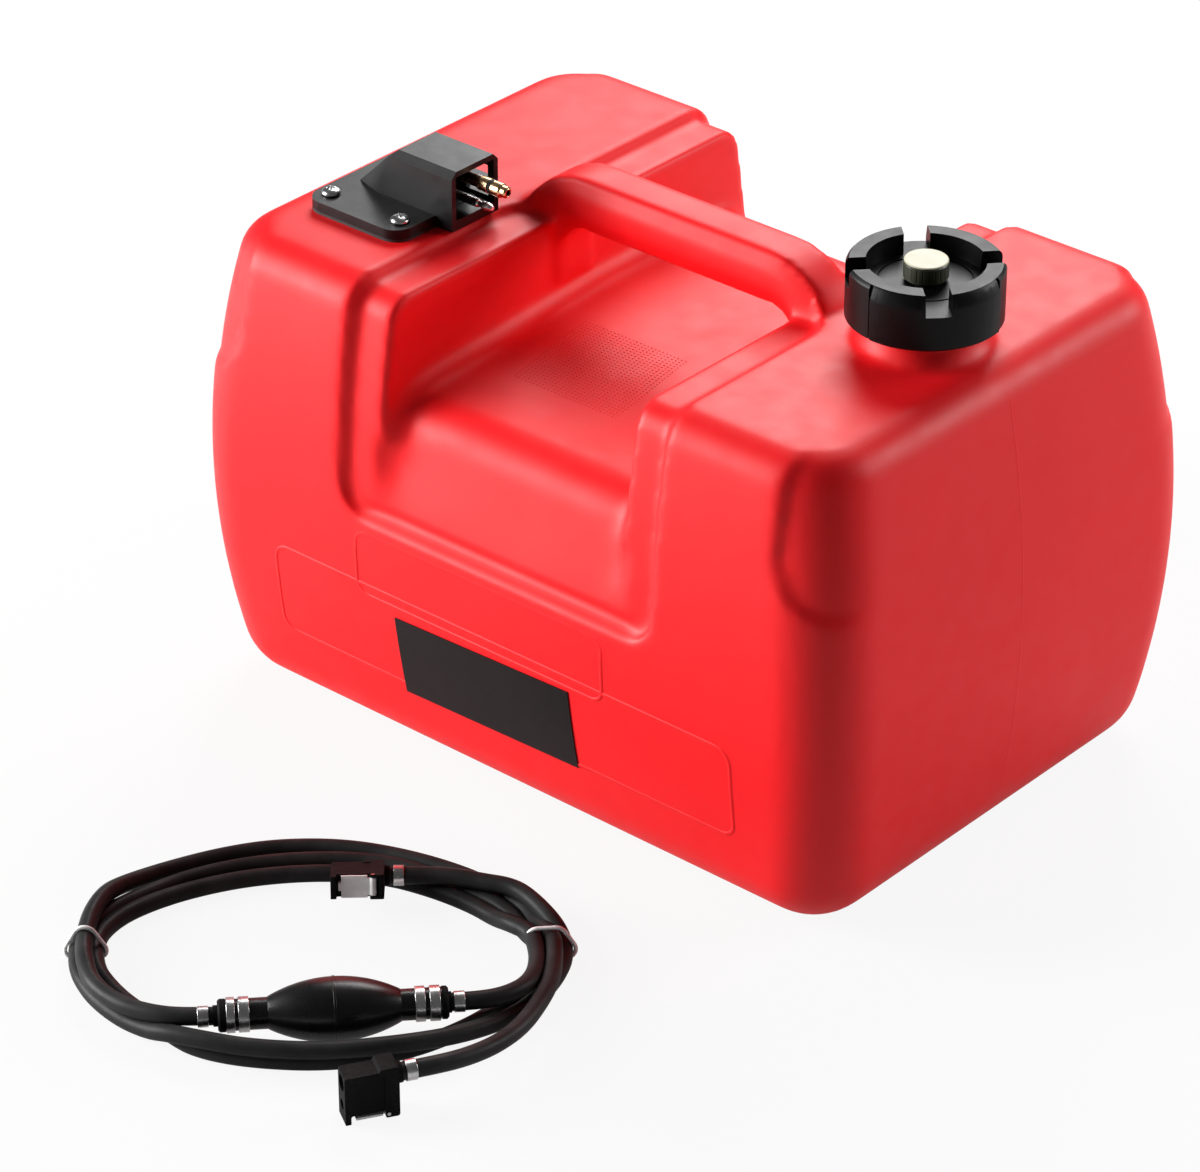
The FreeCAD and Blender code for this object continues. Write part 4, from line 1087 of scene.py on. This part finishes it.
# ---------------------------------------------------------------- cap and vent
@dataclass
class FillerCap:
    """Filler cap with its gasket and the air vent in its middle."""

    middle: Flat = (0.124, 0.0)
    outside: float = 0.034
    height: Flat = (0.233, 0.257)
    deck: float = 0.2485
    # Gaps at the grips' ends: their angles in degrees, and their width and depth.
    grip_ends: tuple[float, ...] = (11.0, 85.0, 191.0, 265.0)
    gap: Flat = (0.0018, 0.0028)
    # Ring groove of the deck: inner and outer radius and depth, and its steps.
    deck_ring: Point = (0.0188, 0.0198, 0.0006)
    ring_sides: int = 96
    overrun: float = 0.001

    def build(self) -> None:
        """Make and dress the cap's pieces."""
        softened("cap_shell", "filler_cap", CAP_BLACK, edge=0.0004, body="cap", slot="cap_black",
                 cutter=self._gaps())
        softened("vent_wheel", "vent_knob", KNOB_OLIVE, edge=0.0002, body="vent")
        softened("vent_button", "vent_disc", DISC_CREAM, edge=0.0002, body="vent")
        dress(SEAL_RUBBER, "cap_gasket", "vent_seal")
        dress(BRASS, "vent_screw")

    def _gaps(self) -> Form:
        """Upright gaps at the ends of the grips, and a ring groove in the deck.

        Returns:
            Closed forms to take out of the cap.
        """
        near, far, depth = self.deck_ring
        foot, head = self.deck - depth, self.deck + self.overrun
        work = lathe([(near, foot), (far, foot), (far, head), (near, head)], self.ring_sides, ring=True)
        wide, deep = self.gap
        tall = self.height[1] - self.height[0] + 4 * self.overrun
        block = (Matrix.Translation((self.outside, 0.0, sum(self.height) / 2))
                 @ Matrix.Diagonal((2 * deep, wide, tall, 1.0)))
        for degrees in self.grip_ends:
            turn = Matrix.Rotation(math.radians(degrees), 4, "Z")
            bmesh.ops.create_cube(work, size=1.0, matrix=turn @ block)
        bmesh.ops.translate(work, vec=(*self.middle, 0.0), verts=work.verts)
        return work


# ---------------------------------------------------------------- fuel outlet
@dataclass
class FuelOutlet:
    """Outlet housing with its screws, nipple, guide pin and pick-up.

    Outlines of the turned fittings are radius and distance from the hood's back, in millimetres.
    """

    hood_back: float = -0.104
    hood_y: float = -0.0415
    nipple_z: float = 0.241
    nipple: tuple[Flat, ...] = (
        (1.4, -4.0), (2.6, -4.0), (2.6, 23.0), (3.3, 24.0), (3.3, 29.0), (2.1, 29.0), (2.1, 31.0), (3.3, 31.0),
        (3.3, 35.5), (2.6, 36.2), (2.6, 38.2), (1.8, 39.0), (1.4, 39.0))
    nut: tuple[Flat, ...] = ((2.6, 0.0), (4.6, 0.0), (4.6, 4.0), (2.6, 4.0))
    pin_z: float = 0.2308
    pin: tuple[Flat, ...] = (
        (0.0, -4.0), (1.95, -4.0), (1.95, 22.0), (1.35, 22.6), (1.35, 24.4), (1.95, 25.0), (1.95, 28.0),
        (1.05, 30.0), (0.0, 30.0))
    turned_sides: int = 48
    turned_edge: float = 0.00022
    turned_angle: float = 25.0
    # Screws: heights of their seats and of their shanks' feet, radii, and how a head rises from
    # its edge: share of it that is upright, and angles of its dome.
    plate_top: float = 0.2267
    shank_foot: float = 0.2147
    shank_radius: float = 0.0019
    head_radius: float = 0.0042
    head_height: float = 0.003
    head_upright: float = 0.3
    head_edge: float = 0.0002
    head_sides: int = 32
    dome_degrees: tuple[int, ...] = (15, 30, 45, 60, 75)
    # Recess of a screw: length and width of its arms as shares of the head's radius, depth,
    # drop of its middle and of its waist below the head's top, and how much it narrows there.
    recess: Flat = (1.15, 0.28)
    recess_deep: float = 0.0022
    recess_middle: float = 0.0004
    recess_waist: float = 0.0008
    recess_taper: float = 0.45
    spots: tuple[Flat, ...] = ((-0.141, -0.070), (-0.141, -0.021), (-0.101, -0.070), (-0.101, -0.021))

    def build(self) -> None:
        """Make and dress the outlet's pieces."""
        softened("outlet_body", "outlet_housing", HOUSING_BLACK, edge=0.0005, steps=3)
        nipple = lathe(self._metres(self.nipple), self.turned_sides, ring=True)
        lathe(self._metres(self.nut), sides=6, ring=True, work=nipple)
        self._turned("nipple_body", nipple, self.nipple_z, BRASS, "fuel_nipple")
        pin = lathe(self._metres(self.pin), self.turned_sides)
        self._turned("pin_body", pin, self.pin_z, STEEL, "guide_pin")
        self._screws()
        dress(SEAL_RUBBER, "outlet_gasket", "nipple_seal")
        dress(BRASS, "threaded_inserts")
        dress(TUBE_CLEAR, "pickup_tube")
        dress(FILTER_MESH, "pickup_filter")

    @staticmethod
    def _metres(profile: Sequence[Flat]) -> list[Flat]:
        """Outline in metres."""
        return [(radius * MM, along * MM) for radius, along in profile]

    def _turned(self, name: str, work: Form, level: float, finish: Finish, node: str) -> None:
        """Turned fitting that points out of the hood.

        Args:
            name: Name of the piece.
            work: Its form about the upright axis.
            level: Height of its axis.
            finish: Finish of the piece.
            node: Node that it stands for.
        """
        place = Matrix.Translation((self.hood_back, self.hood_y, level))
        work.transform(place @ Matrix.Rotation(math.pi / 2, 4, "Y"))
        made = piece(name, to_mesh(work, name), finish)
        rounded(made, self.turned_edge, steps=3, angle=self.turned_angle)
        made.data = baked(made)
        inside_node(made.data, node)
        settle(made, ROOT, node, (node,))

    def _screws(self) -> None:
        """Four cross-recess pan-head screws."""
        master = placed("screw_master", self._screw())
        seed = bpy.data.meshes.new("screw_spots")
        seed.from_pydata([(*spot, self.plate_top) for spot in self.spots], [], [])
        made = screw_recipe().make("pan_head_screws", seed, STEEL, Screw=master, Seed=4)
        bpy.data.objects.remove(master)
        settle(made, ROOT, "flange_screws", ("flange_screws",))

    def _screw(self) -> bpy.types.Mesh:
        """One screw, its head's seat at the origin.

        Returns:
            Its mesh.
        """
        radius, tall, shank = self.head_radius, self.head_height, self.shank_foot - self.plate_top
        upright = self.head_upright
        profile = [(0.0, shank), (self.shank_radius, shank), (self.shank_radius, 0.0),
                   (radius, self.head_edge), (radius, tall * upright)]
        profile += [(radius * math.cos(a), tall * (upright + (1.0 - upright) * math.sin(a)))
                    for a in np.radians(self.dome_degrees)]
        head = lathe([*profile, (0.0, tall)], self.head_sides)
        blank = placed("screw_blank", to_mesh(head, "screw_head"))
        cross = bmesh.new()
        for turn in (0.0, math.pi / 2):
            place = (Matrix.Translation((0, 0, tall - self.recess_middle)) @ Matrix.Rotation(turn, 4, "Z")
                     @ Matrix.Diagonal((radius * self.recess[0], radius * self.recess[1], self.recess_deep, 1.0)))
            bmesh.ops.create_cube(cross, size=1.0, matrix=place)
        for vert in cross.verts:
            if vert.co.z < tall - self.recess_waist:
                vert.co.xy *= self.recess_taper
        mesh = carved(blank, cross, use_self=True)
        bpy.data.objects.remove(blank)
        return mesh


# ---------------------------------------------------------------- hose set
@dataclass
class HoseSet:
    """Two hoses with the primer bulb, clamps, bands, connectors and ties.

    Routes give distances along the coil and towards its front, and the height.
    """

    middle: Flat = (0.0156, -0.2496)
    turn: float = 41.0
    hose_radius: float = 0.00375
    long_route: tuple[Point, ...] = (
        (.0272, -.0391, .0112), (.04, -.0395, .0112), (.0535, -.0386, .0113), (.066, -.0348, .011),
        (.0771, -.0314, .0113), (.0845, -.0246, .0114), (.0928, -.0128, .01), (.0977, -.0054, .0072),
        (.1002, .0034, .0046), (.099, .0168, .0038), (.0909, .0355, .0038), (.0793, .0513, .0042),
        (.0593, .0677, .0077), (.0349, .0779, .0103), (.0051, .0826, .0103), (-.0237, .0803, .0103),
        (-.0431, .0747, .0104), (-.0562, .0684, .009), (-.0658, .0614, .0053), (-.0784, .0501, .0038),
        (-.0911, .0338, .0038), (-.0983, .0149, .0038), (-.0986, -.0071, .0038),
        (-.0877, -.0243, .0038), (-.0728, -.0372, .0038), (-.0528, -.0506, .0038),
        (-.0268, -.0596, .0038), (.0018, -.0624, .0038), (.0284, -.0589, .0038),
        (.0503, -.0454, .0038), (.0674, -.0335, .0038), (.0784, -.0211, .0038), (.0837, -.0085, .0038),
        (.0935, .0046, .0038), (.0891, .0225, .0038), (.0776, .0408, .0038), (.0616, .058, .0038),
        (.0372, .0741, .0038), (.0069, .081, .0038), (-.0234, .0788, .0038), (-.0444, .0724, .0038),
        (-.055, .0632, .0038), (-.0637, .0522, .0038), (-.0736, .0432, .0038), (-.0828, .0309, .0038),
        (-.0904, .0161, .0038), (-.0917, -.0036, .0038), (-.0846, -.0183, .0038),
        (-.0721, -.0297, .0038), (-.0547, -.04, .0038), (-.0317, -.0486, .0038),
        (-.0044, -.0525, .0038), (.0235, -.0504, .0038), (.0457, -.0399, .0038),
        (.0628, -.0279, .0038), (.0712, -.0184, .0043), (.0781, -.0075, .0091), (.0871, .001, .01),
        (.0894, .017, .01), (.0886, .0286, .0106), (.085, .0396, .0118), (.0766, .0482, .0128),
        (.0664, .0523, .0134), (.0554, .0534, .0134),
    )
    short_route: tuple[Point, ...] = (
        (-.0389, .0631, .0134), (-.0515, .0637, .0134), (-.0634, .0607, .0128), (-.0741, .0546, .0118),
        (-.0836, .0452, .011), (-.0906, .0342, .0106), (-.0948, .0161, .0104), (-.0953, .0016, .0104),
        (-.0939, -.0138, .0105), (-.0897, -.0282, .0101), (-.0815, -.041, .0066),
        (-.0642, -.0555, .0038), (-.0436, -.0651, .0038), (-.0213, -.0713, .0038),
        (.0071, -.0714, .0038), (.0329, -.0637, .0038), (.0557, -.052, .0038), (.0713, -.0398, .0038),
        (.0828, -.0271, .0038), (.0889, -.0116, .0053), (.0938, -.0009, .0093), (.0963, .01, .0107),
        (.0952, .034, .0104), (.09, .0506, .0105), (.0835, .0665, .011), (.0742, .081, .0129),
        (.0625, .093, .0154), (.0501, .1012, .0175), (.0371, .1054, .0175),
    )
    # Connectors: side, middle of the face that takes the hose, and turn against the coil.
    sockets: tuple[tuple[str, Point, float], ...] = (
        ("a", (0.0032, -0.0385, 0.01125), 1.5), ("b", (0.0143, 0.1128, 0.0175), 18.0))
    spring_ends: Flat = (0.01725, 0.0212)
    spring_radius: float = 0.002225
    spring_wire: float = 0.000175
    spring_turns: float = 2.5
    spring_points: int = 61
    valve_travel: float = 0.002
    # Ties: distance towards the coil's front, then place along and height of each strand.
    ties: tuple[tuple[float, tuple[Flat, ...]], ...] = (
        (0.004, ((0.0999, 0.0046), (0.0922, 0.0038), (0.0964, 0.0104), (0.0893, 0.0099))),
        (0.004, ((-0.0990, 0.0038), (-0.0913, 0.0038), (-0.0953, 0.0104))),
    )
    tie_radius: float = 0.0009
    tie_points: int = 36
    floor_gap: float = 0.0001

    def build(self) -> None:
        """Make and dress the hose set."""
        carried = self._fittings()
        beads = bead_recipe()
        self._ties(beads)
        self._springs(beads, carried)
        long_hose = self._hose("hose_long", self.long_route)
        short_hose = self._hose("hose_short", self.short_route)
        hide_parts("hose_coil", "hose_to_connector_a", "hose_to_bulb_inlet")
        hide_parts("hose_coil", "hose_to_bulb_outlet", "hose_to_connector_b")
        tuple(self.place(self.long_route[0]))
        tuple(self.place(self.short_route[0]))

    def place(self, spot: Point) -> Vector:
        """World place of a point of the coil.

        Args:
            spot: Distance along the coil, distance towards its front, and height.

        Returns:
            The same point in the tank's frame.
        """
        angle = math.radians(self.turn)
        s, t, z = spot
        return Vector((self.middle[0] + s * math.cos(angle) + t * math.sin(angle),
                       self.middle[1] + s * math.sin(angle) - t * math.cos(angle), z))

    def _fittings(self) -> dict[str, Thing]:
        """Connectors, bands, clamps and bulb.

        Returns:
            The pieces that the hoses carry, by name.
        """
        carried = {}
        for side in ("a", "b"):
            socket, latch = "connector_" + side, "latch_" + side
            carried[socket] = softened("socket_body_" + side, socket, CONNECTOR_BLACK, edge=0.0004)
            carried[latch] = softened("latch_plate_" + side, latch, LATCH_METAL, edge=0.00015, body=latch)
            dress(VALVE_BROWN, "shutoff_valve_" + side)
        carried["bands"] = softened("bulb_clamp_bands", "bulb_bands", BAND_STEEL, edge=0.0002)
        carried["clamps"] = softened("hose_clamp_rings", "hose_clamps", BAND_STEEL, edge=0.0002)
        dress(STEEL, "latch_pins", "inlet_ball", "outlet_ball")
        dress(CONNECTOR_BLACK, "bulb_inlet_fitting", "bulb_outlet_fitting")
        carried["bulb"] = softened("bulb_body", "primer_bulb", BULB_RUBBER, edge=0.0003, angle=40.0)
        return carried

    def _ties(self, beads: Recipe) -> None:
        """White ties drawn round the strands.

        Args:
            beads: Tree that lays a tie along a line.
        """
        reach = self.hose_radius + self.tie_radius
        for number, (t, strands) in enumerate(self.ties, 1):
            rings = [Vector((s + reach * math.cos(a), z + reach * math.sin(a)))
                     for s, z in strands for a in np.linspace(0, 2 * math.pi, self.tie_points, endpoint=False)]
            spots = [self.place((spot.x, t, max(spot.y, self.tie_radius + self.floor_gap))) for spot in hull(rings)]
            made = beads.make("coil_tie_%d" % number, polyline(spots, True, "tie_line_%d" % number), TIE_WHITE,
                              Radius=self.tie_radius, Sides=10, Spacing=0.0008)
            settle(made, ROOT, "coil_ties", ("coil_ties",))

    def _springs(self, beads: Recipe, carried: dict[str, Thing]) -> None:
        """Coil springs behind the shut-off valves, drawn at one fixed length.

        Args:
            beads: Tree that lays a wire along a line.
            carried: Takes the springs, by name.
        """
        start, end = self.spring_ends
        wire, radius = self.spring_wire, self.spring_radius
        for side, face, turn in self.sockets:
            angle = math.radians(self.turn + turn)
            along = Vector((math.cos(angle), math.sin(angle), 0.0))
            across = Vector((-along.y, along.x, 0.0))
            base = self.place(face)
            spots = []
            for share in np.linspace(0.0, 1.0, self.spring_points):
                bend = 2.0 * math.pi * self.spring_turns * share
                reach = start + wire + share * (end - start - 2.0 * wire)
                spots.append(base + along * reach + across * (radius * math.cos(bend))
                             + Vector((0.0, 0.0, radius * math.sin(bend))))
            node = "valve_spring_" + side
            made = beads.make("valve_coil_" + side, polyline(spots, False, "coil_line_" + side), STEEL,
                              Radius=wire, Sides=8, Spacing=0.0005)
            carried["spring_" + side] = settle(made, ROOT, node, (node,))
            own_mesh(made)

    def _hose(self, name: str, route: Sequence[Point]) -> Thing:
        """Hose on a smooth spline through the coil.

        Args:
            name: Name of the piece.
            route: Control points along and across the coil.

        Returns:
            The hose.
        """
        curve = tuned(bpy.data.curves.new(name, "CURVE"), dimensions="3D", bevel_depth=self.hose_radius,
                      bevel_resolution=5, use_fill_caps=True, resolution_u=10)
        spline = curve.splines.new("NURBS")
        spline.points.add(len(route) - 1)
        for point, spot in zip(spline.points, route):
            point.co = (*self.place(spot), 1.0)
        tuned(spline, order_u=3, use_endpoint_u=True)
        curve.materials.append(HOSE_RUBBER.material())
        return settle(placed(name, curve), ROOT, "hose_coil")


# ---------------------------------------------------------------- studio
@dataclass
class Studio:
    """Pale floor, soft light and camera."""

    # Camera: place, heading and height in degrees, focal length and sensor in millimetres, reach.
    camera_at: Point = (1.2014, -1.4367, 1.1737)
    azimuth: float = 41.06
    elevation: float = 30.84
    lens: float = 149.74
    sensor: float = 36.0
    far: float = 50.0
    # Lamps: name, place, point each faces, side in metres and power in watts.
    lamps: tuple[tuple[str, Point, Point, float, float], ...] = (
        ("soft_left", (-1.25, -1.10, 0.66), (-0.05, -0.05, 0.10), 1.0, 38.0),
        ("soft_low", (-1.45, -1.05, 0.36), (-0.05, -0.05, 0.10), 0.7, 22.0),
        ("soft_rear", (-0.55, 1.00, 1.15), (0.0, 0.0, 0.15), 0.9, 26.0),
        ("soft_right", (1.05, 1.2, 0.75), (0.12, 0.0, 0.1), 0.7, 18.0),
    )
    sky: float = 0.09
    # Floor: half its side, grey, roughness, and share of plain white that the camera and mirrors see.
    floor_half: float = 4.0
    floor_grey: float = 0.62
    floor_rough: float = 0.9
    seen_direct: float = 0.9
    seen_mirrored: float = 0.25

    def build(self) -> None:
        """Set up the floor, the world, the lights and the camera."""
        bpy.context.scene.view_settings.view_transform = "Standard"
        self._floor()
        self._world()
        for lamp in self.lamps:
            self._lamp(*lamp)
        self._camera()

    def _floor(self) -> None:
        """Pale floor that reads white and keeps a soft shadow."""
        half = self.floor_half
        mesh = bpy.data.meshes.new("floor")
        corners = [(-half, -half, 0), (half, -half, 0), (half, half, 0), (-half, half, 0)]
        mesh.from_pydata(corners, [], [(0, 1, 2, 3)])
        floor = placed("floor", mesh)
        material = tuned(bpy.data.materials.new("pale_floor"), use_nodes=True)
        nodes = material.node_tree.nodes
        board = Board(material.node_tree)
        grey = (self.floor_grey, self.floor_grey, self.floor_grey, 1.0)
        board.feed(nodes["Principled BSDF"],
                   {"Base Color": grey, "Roughness": self.floor_rough, "Specular IOR Level": 0.0})
        mix = board.add("ShaderNodeMixShader", {0: self._seen(board), 1: nodes["Principled BSDF"],
                                                2: board.add("ShaderNodeEmission")})
        board.feed(nodes["Material Output"], {"Surface": mix})
        mesh.materials.append(material)

    def _seen(self, board: Board) -> object:
        """Share of plain white that a ray sees.

        Args:
            board: Tree to add to.

        Returns:
            The share's socket.
        """
        path = board.add("ShaderNodeLightPath").outputs
        mirror = board.maths("MAXIMUM", path["Is Glossy Ray"], path["Is Transmission Ray"])
        return board.maths("MAXIMUM", board.maths("MULTIPLY", path["Is Camera Ray"], self.seen_direct),
                           board.maths("MULTIPLY", mirror, self.seen_mirrored))

    def _world(self) -> None:
        """White backdrop with a plain even sky for light."""
        world = tuned(bpy.data.worlds.new("studio_world"), use_nodes=True)
        bpy.context.scene.world = world
        nodes = world.node_tree.nodes
        board = Board(world.node_tree)
        white = (1.0, 1.0, 1.0, 1.0)
        board.feed(nodes["Background"], {"Color": white, "Strength": 1.0})
        sky = board.add("ShaderNodeBackground", {"Color": white, "Strength": self.sky})
        direct = board.add("ShaderNodeLightPath").outputs["Is Camera Ray"]
        mix = board.add("ShaderNodeMixShader", {0: direct, 1: sky, 2: nodes["Background"]})
        board.feed(nodes["World Output"], {"Surface": mix})

    def _lamp(self, name: str, at: Point, aim: Point, size: float, watts: float) -> None:
        """Add a square soft lamp.

        Args:
            name: Name of the lamp.
            at: Its place.
            aim: Point that it faces.
            size: Side in metres.
            watts: Power.
        """
        light = tuned(bpy.data.lights.new(name, "AREA"), shape="SQUARE", size=size, energy=watts)
        turn = (Vector(aim) - Vector(at)).to_track_quat("-Z", "Y").to_euler()
        tuned(placed(name, light), location=at, rotation_euler=turn)

    def _camera(self) -> None:
        """Camera at its place and angle."""
        a, e = math.radians(self.azimuth), math.radians(self.elevation)
        back = Vector((math.sin(a) * math.cos(e), -math.cos(a) * math.cos(e), math.sin(e)))
        right = Vector((math.cos(a), math.sin(a), 0.0))
        turn = Matrix((right, back.cross(right), back)).transposed().to_4x4()
        lens = tuned(bpy.data.cameras.new("camera"), lens=self.lens, sensor_width=self.sensor, clip_end=self.far)
        camera = tuned(placed("camera", lens), matrix_world=Matrix.Translation(self.camera_at) @ turn)
        bpy.context.scene.camera = camera


def main() -> None:
    """Build every sub-assembly in order."""
    logging.basicConfig(level=logging.INFO, format="%(message)s")
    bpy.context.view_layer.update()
    HoseSet().build()
    TankShell().build()
    FillerCap().build()
    FuelOutlet().build()
    Studio().build()


if __name__ == "__main__":
    main()
